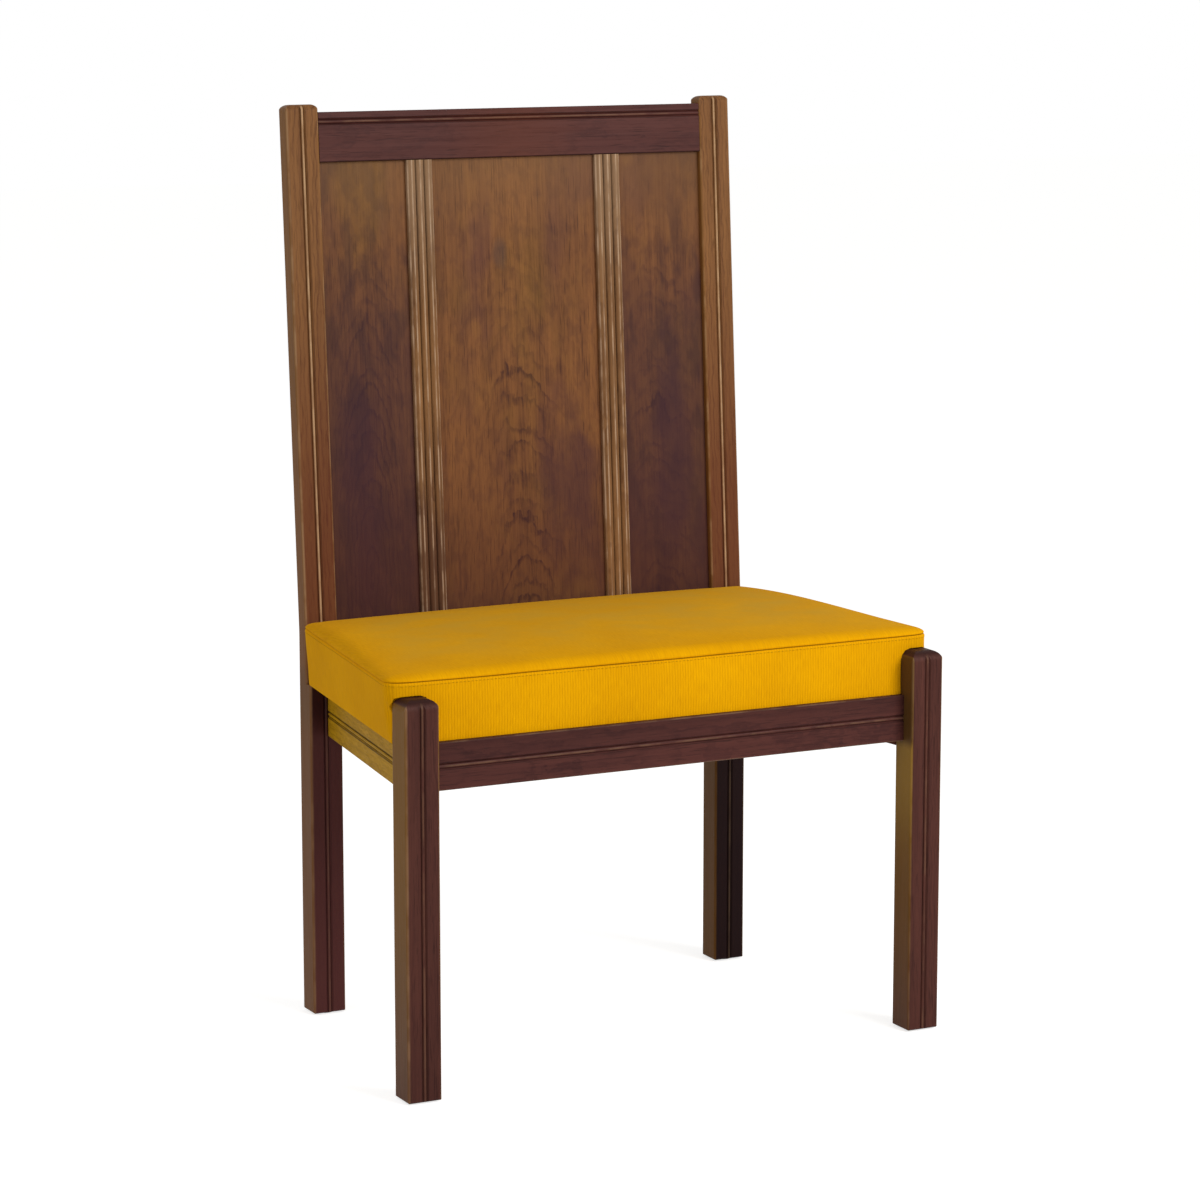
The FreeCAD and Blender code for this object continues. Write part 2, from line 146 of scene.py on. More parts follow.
class ChairWood(bpy.types.PropertyGroup):
    """Stain colours of the wooden pieces; some hold painted highlights, reflections and shade."""

    post_light: tint("Post light", "Early wood of the rear posts", 0x8A5E36)
    post_dark: tint("Post dark", "Late wood of the rear posts", 0x4E2C1E)
    leg_light: tint("Leg light", "Early wood of the front legs", 0x57322A)
    leg_dark: tint("Leg dark", "Late wood of the front legs", 0x341C1B)
    rail_light: tint("Rail light", "Early wood of the cross rails", 0x572F29)
    rail_dark: tint("Rail dark", "Late wood of the cross rails", 0x341919)
    # Left side rail: its paler, yellower colours are a painted reflection of the yellow cushion and painted
    # light from the left
    left_rail_lit_early: tint("Side rail light", "Early wood of the side rails", 0xC4941C)
    left_rail_lit_late: tint("Side rail dark", "Late wood of the side rails", 0x8C640E)
    panel_light: tint("Panel light", "Early wood of the panel veneer", 0x82532C)
    panel_dark: tint("Panel dark", "Late wood of the panel veneer", 0x40221A)
    moulding_light: tint("Moulding light", "Early wood of the reeded mouldings", 0x86603C)
    moulding_dark: tint("Moulding dark", "Late wood of the reeded mouldings", 0x543420)
    # Wear and painted highlight on the crowns of beads and on arrises
    worn_and_highlight: tint("Rubbed edge", "Stain worn thin on beads and arrises", 0xB08C66)
    # Stain gathered in the quirks with painted shade there, and the painted shadow line under the top back
    # rail
    settled_and_shaded: tint("Settled stain", "Stain that has settled in the quirks", 0x1E0F0C)
    plain_light: tint("Unstained light", "Early wood of the blocks and the seat board", 0xC9A878)
    plain_dark: tint("Unstained dark", "Late wood of the blocks and the seat board", 0x97734A)


class ChairSeat(bpy.types.PropertyGroup):
    """Sizes and colours of the upholstered seat."""

    cloth: tint("Cloth", "Crown of the ribs of the seat cloth", 0xF0AC00)
    cloth_shade: tint("Cloth shade", "Furrows between the ribs of the seat cloth", 0xCE8A00)
    # Duller, more olive top of the seat: painted sheen haze and painted shade of the top face
    cloth_top_sheen_and_shade: tint("Faded cloth", "Cloth on top of the seat, dulled by use", 0xD4A02C)
    thread: tint("Thread", "Sewing thread of the seam", 0xD09608)
    rib: size("Rib", "Width of one rib of the cloth", 0.0033)
    yarn: size("Yarn", "Spacing of the yarns that cross a rib", 0.0011)
    corner: size("Corner radius", "Rounding of the seat's corners in plan", 0.018)
    rim: size("Rim radius", "Roll of the top edge down to the seam", 0.015)
    dip: size("Corner dip", "How far the rim falls from its highest place to the corners", 0.006)
    lean: size("Lean", "How far the left side leans out over its rail at the seam", 0.009)
    slack: size("Slack", "How much smaller the cover starts before it is filled", 0.0012)
    swell: size("Swell", "How far the filling crowns the top", 0.0040)
    pressure: share("Pressure", "Pressure of the filling", 2.0)
    pull: size("Pull", "How far the seam is drawn in and down between the corners", 0.0016)
    seam_depth: size("Seam depth", "How far the seam pulls in", 0.0022)
    stitch_gap: size("Stitch spacing", "From one stitch of the seam to the next", 0.0046)
    stitch: size("Stitch length", "Length of one stitch", 0.0034)
    thread_thickness: size("Thread thickness", "Thickness of the sewing thread", 0.0007)
    hem: size("Hem", "Width of the cloth turned under the seat board", 0.026)
    staple_gap: size("Staple spacing", "From one staple of the hem to the next", 0.034)
    staple: size("Staple", "Width of a staple's crown", 0.0110)
    wire: size("Staple wire", "Thickness of a staple's wire", 0.0009)


class ChairStage(bpy.types.PropertyGroup):
    """Camera and lamps."""

    lens: FloatProperty(name="Lens", description="Focal length", default=117.52, unit="CAMERA")
    place: FloatVectorProperty(
        name="Camera", description="Place of the camera", default=(-1.98771, -3.92600, 1.25091), unit="LENGTH"
    )
    yaw: angle("Yaw", "Turn of the camera", -26.98)
    pitch: angle("Pitch", "Tilt of the camera", -9.79)
    key: watts("Key lamp", "Power of the key lamp", 58.0)
    key_turn: angle("Key turn", "Key lamp's angle right of straight ahead", 25)
    key_lift: angle("Key lift", "Key lamp's angle above the horizon", 27)
    fill: watts("Fill lamp", "Power of the fill lamp", 13.0)
    fill_turn: angle("Fill turn", "Fill lamp's angle left of straight ahead", 78)
    fill_lift: angle("Fill lift", "Fill lamp's angle above the horizon", 20)
    lamp_reach: size("Lamp distance", "From the chair to the lamps", 3.0)
    lamp_size: size("Lamp size", "Side of the square lamps", 1.6)
    ambient: share("Ambient", "Strength of the light from all round", 0.40)
    floor: tint("Floor", "Colour of the floor", 0xE0E0DE)
    floor_glow: share("Floor glow", "Brightness that lifts the floor to white for the camera", 0.70)


# Small helpers for node trees


def put(tree, kind, *values, **settings):
    """A new node with its settings made and its inputs set or linked in order; None skips an input."""
    made = tree.nodes.new(kind)
    for name, value in settings.items():
        setattr(made, name, value)
    for socket, value in zip(made.inputs, values):
        wire(tree, value, socket)
    return made


def wire(tree, value, socket):
    """Links an output to a socket, or sets the socket to a plain value."""
    if isinstance(value, bpy.types.NodeSocket):
        tree.links.new(value, socket)
    elif value is not None:
        socket.default_value = value


def calc(tree, operation, *values):
    """Result of a Math node."""
    return put(tree, "ShaderNodeMath", *values, operation=operation).outputs[0]


def apart(tree, value, centre):
    """How far a value is from a centre, to either side."""
    return calc(tree, "ABSOLUTE", calc(tree, "SUBTRACT", value, centre))


def vector_calc(tree, operation, *values):
    """Result of a Vector Math node."""
    return put(tree, "ShaderNodeVectorMath", *values, operation=operation).outputs[0]


def ramp(tree, value, start, end, low=0.0, high=1.0):
    """Smooth step of a value from low at start to high at end."""
    step = put(tree, "ShaderNodeMapRange", value, start, end, low, high, interpolation_type="SMOOTHSTEP")
    return step.outputs[0]


def blend(tree, factor, first, second, mode="MIX"):
    """Two colours mixed by a factor."""
    mix = put(tree, "ShaderNodeMix", data_type="RGBA", blend_type=mode, clamp_factor=True)
    for socket, value in zip((mix.inputs[0], mix.inputs[6], mix.inputs[7]), (factor, first, second)):
        wire(tree, value, socket)
    return mix.outputs[2]


def speckle(tree, vector, stretch, detail=2.0):
    """Noise node on a stretched vector."""
    stretched = vector_calc(tree, "MULTIPLY", vector, stretch)
    return put(tree, "ShaderNodeTexNoise", stretched, None, 1.0, detail)


def shader_group(name, inputs, outputs):
    """A new shader node group with named sockets, and its inner input and output nodes."""
    tree = bpy.data.node_groups.new(name, "ShaderNodeTree")
    kinds = {"vector": "NodeSocketVector", "colour": "NodeSocketColor", "value": "NodeSocketFloat"}
    for label, kind, default in inputs:
        socket = tree.interface.new_socket(label, in_out="INPUT", socket_type=kinds[kind])
        if default is not None:
            socket.default_value = default
    for label, kind in outputs:
        tree.interface.new_socket(label, in_out="OUTPUT", socket_type=kinds[kind])
    return tree, tree.nodes.new("NodeGroupInput").outputs, tree.nodes.new("NodeGroupOutput").inputs


def place_group(tree, group, **values):
    """A group node whose inputs are set by name, with underscores for spaces."""
    made = tree.nodes.new("ShaderNodeGroup")
    made.node_tree = group
    for name, value in values.items():
        wire(tree, value, made.inputs[name.replace("_", " ")])
    return made.outputs


# Shared shader effects


def make_grain_group():
    """Stained grain: rings about a leaning pith, fibres, pores and blotches. Z runs along the grain."""
    tree, given, result = shader_group(
        "Stained Grain",
        [
            ("Vector", "vector", None),
            ("Light", "colour", opaque(linear(0x8A5E36))),
            ("Dark", "colour", opaque(linear(0x4A2A20))),
            ("Ring Gap", "value", 0.006),
            ("Pith Depth", "value", 0.08),
            ("Pith Lean", "value", 0.03),
            ("Ring Strength", "value", 0.6),
            ("Flank", "value", 0.5),
            ("Fibre Strength", "value", 0.7),
            ("Pore Strength", "value", 0.5),
            ("Blotch Strength", "value", 0.6),
        ],
        [("Color", "colour"), ("Roughness", "value"), ("Height", "value")],
    )
    vector = given["Vector"]
    drift = speckle(tree, vector, (6.0, 6.0, 1.3)).outputs["Color"]
    drift = vector_calc(tree, "SUBTRACT", drift, (0.5, 0.5, 0.5))
    warped = vector_calc(tree, "MULTIPLY_ADD", drift, (0.036, 0.036, 0.02), vector)
    parts = put(tree, "ShaderNodeSeparateXYZ", warped).outputs
    depth = calc(tree, "ADD", parts["Y"], given["Pith Depth"])
    depth = calc(tree, "MULTIPLY_ADD", parts["Z"], given["Pith Lean"], depth)
    depth_squared = calc(tree, "MULTIPLY", depth, depth)
    radius = calc(tree, "SQRT", calc(tree, "MULTIPLY_ADD", parts["X"], parts["X"], depth_squared))
    ragged = speckle(tree, vector, (48.0, 48.0, 26.0), 4.0).outputs["Fac"]
    phase = calc(tree, "DIVIDE", radius, given["Ring Gap"])
    season = put(tree, "ShaderNodeTexNoise", None, phase, 0.4, 1.0, noise_dimensions="1D").outputs["Fac"]
    phase = calc(tree, "MULTIPLY_ADD", season, 1.4, phase)
    phase = calc(tree, "MULTIPLY_ADD", ragged, 2.2, phase)
    crumbled = speckle(tree, vector, (130.0, 130.0, 80.0)).outputs["Fac"]
    phase = calc(tree, "MULTIPLY_ADD", crumbled, 0.8, phase)
    turn = calc(tree, "FRACT", phase)
    year = put(tree, "ShaderNodeTexWhiteNoise", None, calc(tree, "FLOOR", phase), noise_dimensions="1D")
    late = calc(tree, "MULTIPLY", ramp(tree, turn, 0.42, 0.84), ramp(tree, turn, 1.0, 0.84))
    late = calc(tree, "MULTIPLY", late, ramp(tree, year.outputs["Value"], 0.0, 1.0, 0.45, 1.0))
    aside = calc(tree, "DIVIDE", calc(tree, "ABSOLUTE", parts["X"]), given["Flank"])
    late = calc(tree, "MULTIPLY", late, ramp(tree, aside, 1.0, 0.25, 0.28, 1.0))
    dash = speckle(tree, vector, (520.0, 520.0, 40.0)).outputs["Fac"]
    late = calc(tree, "MULTIPLY", late, ramp(tree, dash, 0.30, 0.66, 0.35, 1.0))
    fibre = speckle(tree, vector, (430.0, 430.0, 8.0), 3.0).outputs["Fac"]
    streak = speckle(tree, vector, (110.0, 110.0, 2.2)).outputs["Fac"]
    blotch = speckle(tree, vector, (11.0, 11.0, 3.0), 3.0).outputs["Fac"]
    pore = ramp(tree, speckle(tree, vector, (950.0, 950.0, 34.0), 1.0).outputs["Fac"], 0.60, 0.70)
    pore = calc(tree, "MULTIPLY", pore, calc(tree, "MULTIPLY_ADD", late, -0.6, 1.0))
    dark = calc(tree, "MULTIPLY_ADD", late, given["Ring Strength"], 0.25)
    threads = calc(tree, "SUBTRACT", calc(tree, "ADD", fibre, streak), 1.0)
    dark = calc(tree, "MULTIPLY_ADD", threads, given["Fibre Strength"], dark)
    dark = calc(tree, "MULTIPLY_ADD", calc(tree, "SUBTRACT", blotch, 0.5), given["Blotch Strength"], dark)
    colour = blend(tree, dark, given["Light"], given["Dark"])
    pore_mask = calc(tree, "MULTIPLY", pore, given["Pore Strength"])
    colour = blend(tree, pore_mask, colour, blend(tree, 0.55, given["Dark"], (0.0, 0.0, 0.0, 1.0)))
    rough = calc(tree, "MULTIPLY_ADD", fibre, 0.22, 0.34)
    height = calc(tree, "MULTIPLY_ADD", late, 0.25, calc(tree, "MULTIPLY", fibre, 0.3))
    height = calc(tree, "SUBTRACT", height, pore_mask)
    for name, value in (("Color", colour), ("Roughness", rough), ("Height", height)):
        wire(tree, value, result[name])
    return tree


def make_line_group():
    """A soft broken line where a coordinate passes a centre, for wear, stain, glue lines, painted highlights
    and painted shade.
    """
    tree, given, result = shader_group(
        "Worn Line",
        [
            ("Vector", "vector", None),
            ("Coordinate", "value", 0.0),
            ("Centre", "value", 0.0),
            ("Width", "value", 0.002),
            ("Break Up", "value", 0.6),
        ],
        [("Mask", "value")],
    )
    line = ramp(tree, apart(tree, given["Coordinate"], given["Centre"]), given["Width"], 0.0)
    patch = speckle(tree, given["Vector"], (38.0, 38.0, 30.0), 6.0).outputs["Fac"]
    worn = calc(tree, "MULTIPLY", ramp(tree, patch, 0.62, 0.38), given["Break Up"])
    wire(tree, calc(tree, "MULTIPLY", line, calc(tree, "SUBTRACT", 1.0, worn)), result["Mask"])
    return tree


def make_cloth_group():
    """Ribbed cloth: ribs along V, crossing yarns, slubs and soft fading. The vector is in metres."""
    tree, given, result = shader_group(
        "Ribbed Cloth",
        [
            ("Vector", "vector", None),
            ("Cloth", "colour", opaque(linear(0xE3A506))),
            ("Shade", "colour", opaque(linear(0xB97F08))),
            ("Rib", "value", 0.0033),
            ("Yarn", "value", 0.0011),
            ("Relief", "value", 1.0),
        ],
        [("Color", "colour"), ("Height", "value")],
    )
    vector = given["Vector"]
    wander = speckle(tree, vector, (60.0, 18.0, 60.0)).outputs["Fac"]
    parts = put(tree, "ShaderNodeSeparateXYZ", vector).outputs
    across = calc(tree, "MULTIPLY_ADD", wander, 0.0011, parts["X"])
    rib_turn = calc(tree, "MULTIPLY", calc(tree, "DIVIDE", across, given["Rib"]), math.pi)
    rib = calc(tree, "SUBTRACT", calc(tree, "ABSOLUTE", calc(tree, "SINE", rib_turn)), 2 / math.pi)
    rib = calc(tree, "MULTIPLY_ADD", rib, given["Relief"], 2 / math.pi)
    yarn_turn = calc(tree, "MULTIPLY", calc(tree, "DIVIDE", parts["Y"], given["Yarn"]), 2 * math.pi)
    yarn_turn = calc(tree, "ADD", yarn_turn, rib_turn)
    yarn = calc(tree, "MULTIPLY", calc(tree, "SINE", yarn_turn), given["Relief"])
    yarn = calc(tree, "MULTIPLY_ADD", yarn, 0.5, 0.5)
    slub = speckle(tree, vector, (900.0, 70.0, 70.0)).outputs["Fac"]
    fade = speckle(tree, vector, (9.0, 9.0, 9.0), 3.0).outputs["Fac"]
    lit = calc(tree, "MULTIPLY_ADD", rib, 0.40, calc(tree, "MULTIPLY", yarn, 0.12))
    lit = calc(tree, "ADD", lit, calc(tree, "MULTIPLY_ADD", slub, 0.9, -0.22))
    lit = calc(tree, "ADD", lit, calc(tree, "MULTIPLY_ADD", fade, 0.8, -0.30))
    wire(tree, blend(tree, lit, given["Shade"], given["Cloth"]), result["Color"])
    height = calc(tree, "MULTIPLY_ADD", yarn, 0.25, rib)
    wire(tree, calc(tree, "MULTIPLY_ADD", slub, 0.35, height), result["Height"])
    return tree


def shared_group(name, make):
    """A shader group that is built once."""
    return bpy.data.node_groups.get(name) or make()


def new_material(name):
    """An empty material with a Principled BSDF, and its tree and shader."""
    material = bpy.data.materials.new(name)
    material.use_nodes = True
    tree = material.node_tree
    shader = tree.nodes["Principled BSDF"]
    return material, tree, shader


def bump(tree, shader, height, strength, distance):
    """Height turned into the shader's normal."""
    made = put(tree, "ShaderNodeBump")
    made.inputs["Strength"].default_value = strength
    made.inputs["Distance"].default_value = distance
    tree.links.new(height, made.inputs["Height"])
    tree.links.new(made.outputs["Normal"], shader.inputs["Normal"])


class Wood:
    """A stained wood material built up in steps: grain, tones, worn lines and stain in the quirks, with
    painted light and shade among them.
    """

    def __init__(
        self, name, light, dark, turn=(0, 0, 0), shift=(0, 0, 0), pivot=(0, 0, 0), leaf=None, **grain
    ):
        self.material, self.tree, self.shader = new_material(name)
        self.coords = put(self.tree, "ShaderNodeTexCoord").outputs["Object"]
        rotation = Euler(turn)
        place = Vector(shift) - rotation.to_matrix() @ Vector(pivot)
        self.vector = put(self.tree, "ShaderNodeMapping", self.coords, place, rotation).outputs[0]
        self.plain = dict(zip("XYZ", put(self.tree, "ShaderNodeSeparateXYZ", self.coords).outputs))
        self.turned = dict(zip("XYZ", put(self.tree, "ShaderNodeSeparateXYZ", self.vector).outputs))
        grain_vector = self.vector if leaf is None else self.cut_leaves(*leaf)
        self.grain = place_group(
            self.tree,
            shared_group("Stained Grain", make_grain_group),
            Vector=grain_vector,
            Light=opaque(light),
            Dark=opaque(dark),
            **grain,
        )
        self.colour = self.grain["Color"]
        self.near = None

    def cut_leaves(self, width, step):
        """Grain vector that starts afresh in each leaf of veneer of the given width."""
        from_edge = calc(self.tree, "ADD", self.plain["X"], width / 2)
        count = calc(self.tree, "FLOOR", calc(self.tree, "DIVIDE", from_edge, width))
        jump = put(self.tree, "ShaderNodeCombineXYZ", count, count, count).outputs[0]
        return vector_calc(self.tree, "MULTIPLY_ADD", jump, step, self.vector)

    def both_sides(self, axis="X"):
        """Distance from the middle of the chair, so that twins look alike."""
        return calc(self.tree, "ABSOLUTE", self.plain[axis])

    def keep_near(self, depth, start, end):
        """Lines drawn after this stay near a show face: full at end, gone at start."""
        self.near = ramp(self.tree, depth, start, end)

    def step(self, axis, start, end):
        """Mask that grows along an axis of the chair from start to end."""
        return ramp(self.tree, self.plain[axis], start, end)

    def both(self, first, second):
        """Mask where two masks meet."""
        return calc(self.tree, "MULTIPLY", first, second)

    def stain(self, mask, colour, amount):
        """Colours the wood by a mask, for stain and for painted light and shade."""
        self.tone(mask, 0.0, 1.0, colour, amount)

    def tone(self, value, start, end, colour, amount):
        """Colours the wood where a value passes from start to end."""
        factor = ramp(self.tree, value, start, end, 0.0, amount)
        self.colour = blend(self.tree, factor, self.colour, opaque(colour))

    def cloud(self, stretch, start, end, colour, amount, shift=0.0):
        """Soft patches of another colour where a wide noise passes from start to end."""
        moved = vector_calc(self.tree, "ADD", self.vector, (shift, shift, shift))
        patch = speckle(self.tree, moved, stretch, 3.0).outputs["Fac"]
        self.tone(patch, start, end, colour, amount)

    def patch(self, x, z, width, height, colour, amount):
        """One soft uneven patch of stain round a place on the show face."""
        sideways = calc(self.tree, "DIVIDE", calc(self.tree, "SUBTRACT", self.plain["X"], x), width)
        upwards = calc(self.tree, "DIVIDE", calc(self.tree, "SUBTRACT", self.plain["Z"], z), height)
        away = calc(self.tree, "MULTIPLY_ADD", sideways, sideways, self.both(upwards, upwards))
        uneven = speckle(self.tree, self.coords, (30.0, 30.0, 16.0), 4.0).outputs["Fac"]
        away = calc(self.tree, "MULTIPLY_ADD", calc(self.tree, "SUBTRACT", uneven, 0.5), 2.2, away)
        self.tone(away, 1.1, -0.1, colour, amount)

    def fade_rings(self, strength):
        """Lets the strength of the rings follow a value."""
        wire(self.tree, strength, self.grain["Color"].node.inputs["Ring Strength"])

    def lines(self, value, centres, width, colour, amount, break_up=0.6):
        """Draws lines at the given centres of a coordinate: wear, stain, painted highlights and painted
        shade.
        """
        mask = None
        for centre in centres:
            line = place_group(
                self.tree,
                shared_group("Worn Line", make_line_group),
                Vector=self.coords,
                Coordinate=value,
                Centre=centre,
                Width=width,
                Break_Up=break_up,
            )["Mask"]
            mask = line if mask is None else calc(self.tree, "MAXIMUM", mask, line)
        if self.near is not None:
            mask = self.both(mask, self.near)
        self.colour = blend(self.tree, calc(self.tree, "MULTIPLY", mask, amount), self.colour, opaque(colour))

    def finish(self, gloss=0.09, relief=0.25, distance=0.0005):
        """Links the steps to the shader and returns the material."""
        self.tree.links.new(self.colour, self.shader.inputs["Base Color"])
        self.tree.links.new(self.grain["Roughness"], self.shader.inputs["Roughness"])
        self.shader.inputs["Specular IOR Level"].default_value = gloss
        bump(self.tree, self.shader, self.grain["Height"], relief, distance)
        return self.material


def dress(nodes, material):
    """Gives CAD nodes a material."""
    for name in nodes:
        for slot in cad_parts[name].material_slots:
            slot.material = material


def twins(stem):
    """Names of a left-hand and a right-hand node."""
    return [f"{stem}_left", f"{stem}_right"]


# Mesh helpers


def mesh_object(name, points, faces):
    """A new object in the scene from points and faces."""
    mesh = bpy.data.meshes.new(name)
    mesh.from_pydata([tuple(point) for point in points], [], faces)
    made = bpy.data.objects.new(name, mesh)
    bpy.context.scene.collection.objects.link(made)
    return made


def settle(made):
    """Turns an object's evaluated result into its own plain mesh, without modifiers."""
    graph = bpy.context.evaluated_depsgraph_get()
    done = made.evaluated_get(graph)
    mesh = bpy.data.meshes.new_from_object(done, preserve_all_data_layers=True, depsgraph=graph)
    mesh.name = made.name
    made.modifiers.clear()
    made.data = mesh
    return made


def hand_over(piece, slot, *nodes):
    """Sets a finished piece on the frame's body and hides the nodes it stands for; the finish slot it is
    given is not used.
    """
    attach(piece, BODY)
    if nodes:
        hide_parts(*nodes)


# Geometry node trees for what repeats


def geometry_tree(name, inputs):
    """A new geometry tree with a geometry in and out and named inputs."""
    tree = bpy.data.node_groups.new(name, "GeometryNodeTree")
    tree.is_modifier = True
    tree.interface.new_socket("Geometry", in_out="INPUT", socket_type="NodeSocketGeometry")
    for label, kind in inputs:
        tree.interface.new_socket(label, in_out="INPUT", socket_type=kind)
    tree.interface.new_socket("Geometry", in_out="OUTPUT", socket_type="NodeSocketGeometry")
    return tree, tree.nodes.new("NodeGroupInput").outputs, tree.nodes.new("NodeGroupOutput").inputs


def end_tree(tree, instances, material, result):
    """Ends a tree with plain geometry in its material."""
    real = put(tree, "GeometryNodeRealizeInstances", instances).outputs[0]
    made = put(tree, "GeometryNodeSetMaterial", real)
    tree.links.new(material, made.inputs["Material"])
    tree.links.new(made.outputs[0], result["Geometry"])


def facing_turn(tree, along):
    """Rotation whose Z follows the points' facing attribute and whose X follows a direction."""
    named = put(tree, "GeometryNodeInputNamedAttribute", "facing", data_type="FLOAT_VECTOR")
    axes = {"primary_axis": "Z", "secondary_axis": "X"}
    return put(tree, "FunctionNodeAxesToRotation", named.outputs["Attribute"], along, **axes).outputs[0]


def make_row_tree(name, piece_sizes, make_piece):
    """Tree that sets a small piece at even spacing along a loop of edges."""
    sizes = [(label, "NodeSocketFloat") for label in ("Spacing", *piece_sizes, "Sway")]
    tree, given, result = geometry_tree(name, [*sizes, ("Material", "NodeSocketMaterial")])
    path = put(tree, "GeometryNodeMeshToCurve", given["Geometry"]).outputs[0]
    evened = put(tree, "GeometryNodeResampleCurve", path, mode="LENGTH")
    tree.links.new(given["Spacing"], evened.inputs["Length"])
    tangent = put(tree, "GeometryNodeInputTangent").outputs[0]
    turn = facing_turn(tree, tangent)
    sway = put(tree, "FunctionNodeRandomValue", data_type="FLOAT")
    tree.links.new(given["Sway"], sway.inputs[3])
    tree.links.new(calc(tree, "MULTIPLY", given["Sway"], -1.0), sway.inputs[2])
    sway.inputs["Seed"].default_value = 7
    spin = put(tree, "FunctionNodeAxisAngleToRotation", (0.0, 0.0, 1.0), sway.outputs[1]).outputs[0]
    turn = put(tree, "FunctionNodeRotateRotation", turn, spin, rotation_space="LOCAL").outputs[0]
    copies = put(tree, "GeometryNodeInstanceOnPoints", evened.outputs[0])
    tree.links.new(make_piece(tree, given), copies.inputs["Instance"])
    tree.links.new(turn, copies.inputs["Rotation"])
    end_tree(tree, copies.outputs[0], given["Material"], result)
    return tree


def stitch_piece(tree, given):
    """One stitch: a short rounded length of thread."""
    ball = put(tree, "GeometryNodeMeshUVSphere", 8, 5, 0.5).outputs[0]
    thick = given["Thickness"]
    sizes = put(tree, "ShaderNodeCombineXYZ", given["Length"], thick, thick).outputs[0]
    drawn = put(tree, "GeometryNodeTransform", ball)
    tree.links.new(sizes, drawn.inputs["Scale"])
    return put(tree, "GeometryNodeSetShadeSmooth", drawn.outputs[0]).outputs[0]


def staple_piece(tree, given):
    """One staple: its flat crown and two short legs into the board."""
    flat = calc(tree, "MULTIPLY", given["Wire"], 0.6)
    leg_height = calc(tree, "MULTIPLY", given["Wire"], 3.0)
    crown_size = put(tree, "ShaderNodeCombineXYZ", given["Length"], given["Wire"], flat).outputs[0]
    crown = put(tree, "GeometryNodeMeshCube", crown_size).outputs[0]
    leg_size = put(tree, "ShaderNodeCombineXYZ", flat, given["Wire"], leg_height).outputs[0]
    parts = put(tree, "GeometryNodeJoinGeometry")
    tree.links.new(crown, parts.inputs[0])
    for side in (-0.5, 0.5):
        leg = put(tree, "GeometryNodeTransform", put(tree, "GeometryNodeMeshCube", leg_size).outputs[0])
        reach = calc(tree, "MULTIPLY", given["Length"], side)
        drop = calc(tree, "MULTIPLY", leg_height, -0.5)
        place = put(tree, "ShaderNodeCombineXYZ", reach, 0.0, drop).outputs[0]
        tree.links.new(place, leg.inputs["Translation"])
        tree.links.new(leg.outputs[0], parts.inputs[0])
    return parts.outputs[0]


def make_screw_tree():
    """Tree that sets a screw at each point, turned to the point's facing."""
    kinds = {"Screw": "NodeSocketObject", "Size": "NodeSocketFloat", "Material": "NodeSocketMaterial"}
    tree, given, result = geometry_tree("Screw Set", kinds.items())
    spin = put(tree, "FunctionNodeRandomValue", data_type="FLOAT_VECTOR")
    spin.inputs[0].default_value = (-1.0, -1.0, -1.0)
    spin.inputs[1].default_value = (1.0, 1.0, 1.0)
    spin.inputs["Seed"].default_value = 3
    copies = put(tree, "GeometryNodeInstanceOnPoints", given["Geometry"])
    shape = put(tree, "GeometryNodeObjectInfo", given["Screw"])
    tree.links.new(shape.outputs["Geometry"], copies.inputs["Instance"])
    tree.links.new(facing_turn(tree, spin.outputs[0]), copies.inputs["Rotation"])
    tree.links.new(given["Size"], copies.inputs["Scale"])
    end_tree(tree, copies.outputs[0], given["Material"], result)
    return tree


def grow(made, tree, **values):
    """Runs a geometry tree on an object with its named inputs, and keeps the result as a plain mesh."""
    modifier = made.modifiers.new(tree.name, "NODES")
    modifier.node_group = tree
    for item in tree.interface.items_tree:
        if item.item_type == "SOCKET" and item.in_out == "INPUT" and item.name in values:
            modifier[item.identifier] = values[item.name]
    return settle(made)


def facing_points(name, places, facings, closed=False):
    """Points that know which way a piece on them faces, joined to a loop where closed."""
    mesh = bpy.data.meshes.new(name)
    edges = [(i, (i + 1) % len(places)) for i in range(len(places))] if closed else []
    mesh.from_pydata([tuple(place) for place in places], edges, [])
    facing = mesh.attributes.new("facing", "FLOAT_VECTOR", "POINT")
    facing.data.foreach_set("vector", np.array(facings, np.float32).ravel())
    made = bpy.data.objects.new(name, mesh)
    bpy.context.scene.collection.objects.link(made)
    return made


# Seat cushion


ARC = 2  # segments in half a corner
FRONT_CELLS = 100  # cells along the front between its corners
SIDE_CELLS = 56  # cells along a side between its corners
ACROSS = FRONT_CELLS + 2 * ARC
BACK = SIDE_CELLS + 2 * ARC
FIT_GAP = 0.0004  # play between the cushion and the wood beside it
BASE_GAP = 0.0002  # play between the cushion and the rails under it
LIP_GAP = 0.0010  # play between the cover's lip and a leg's rounded top
SEAM_Z = SEAT_HIGH.z - 0.0085
STITCH_DROP = 0.0042  # from the seam down to the stitches
LIP_Z = LEG_HIGH.z + FIT_GAP
NOTCH_X = LEG_LOW.x - FIT_GAP
NOTCH_Y = LEG_HIGH.y + FIT_GAP
NOTCH_REACH = 0.002  # a ring that reaches less far over the legs has no notches
NOTCH_SPREAD = (0.0, 0.444, 0.755, 0.917, 1.0)  # columns over a leg, closer towards its inner face
LEG_Y = (LEG_LOW.y + LEG_HIGH.y) / 2
LEG_ROUND = 0.012  # radius of the front legs' rounded tops
REAR_CORNER = 0.35  # radius of the rear corners as a share of the front ones
LEAST_BEND = 0.0015  # smallest radius of a corner
LEAN_LOSS = 0.35  # share of the lean that is lost towards the rear
ROWS_BELOW = 9  # rows of cloth from the lip down to the base
FILL_FRAMES = 20  # frames of the pressure simulation
CLOTH_THICKNESS = 0.0012
HEM_GAP = 0.0006  # play between the hem and the rails round it
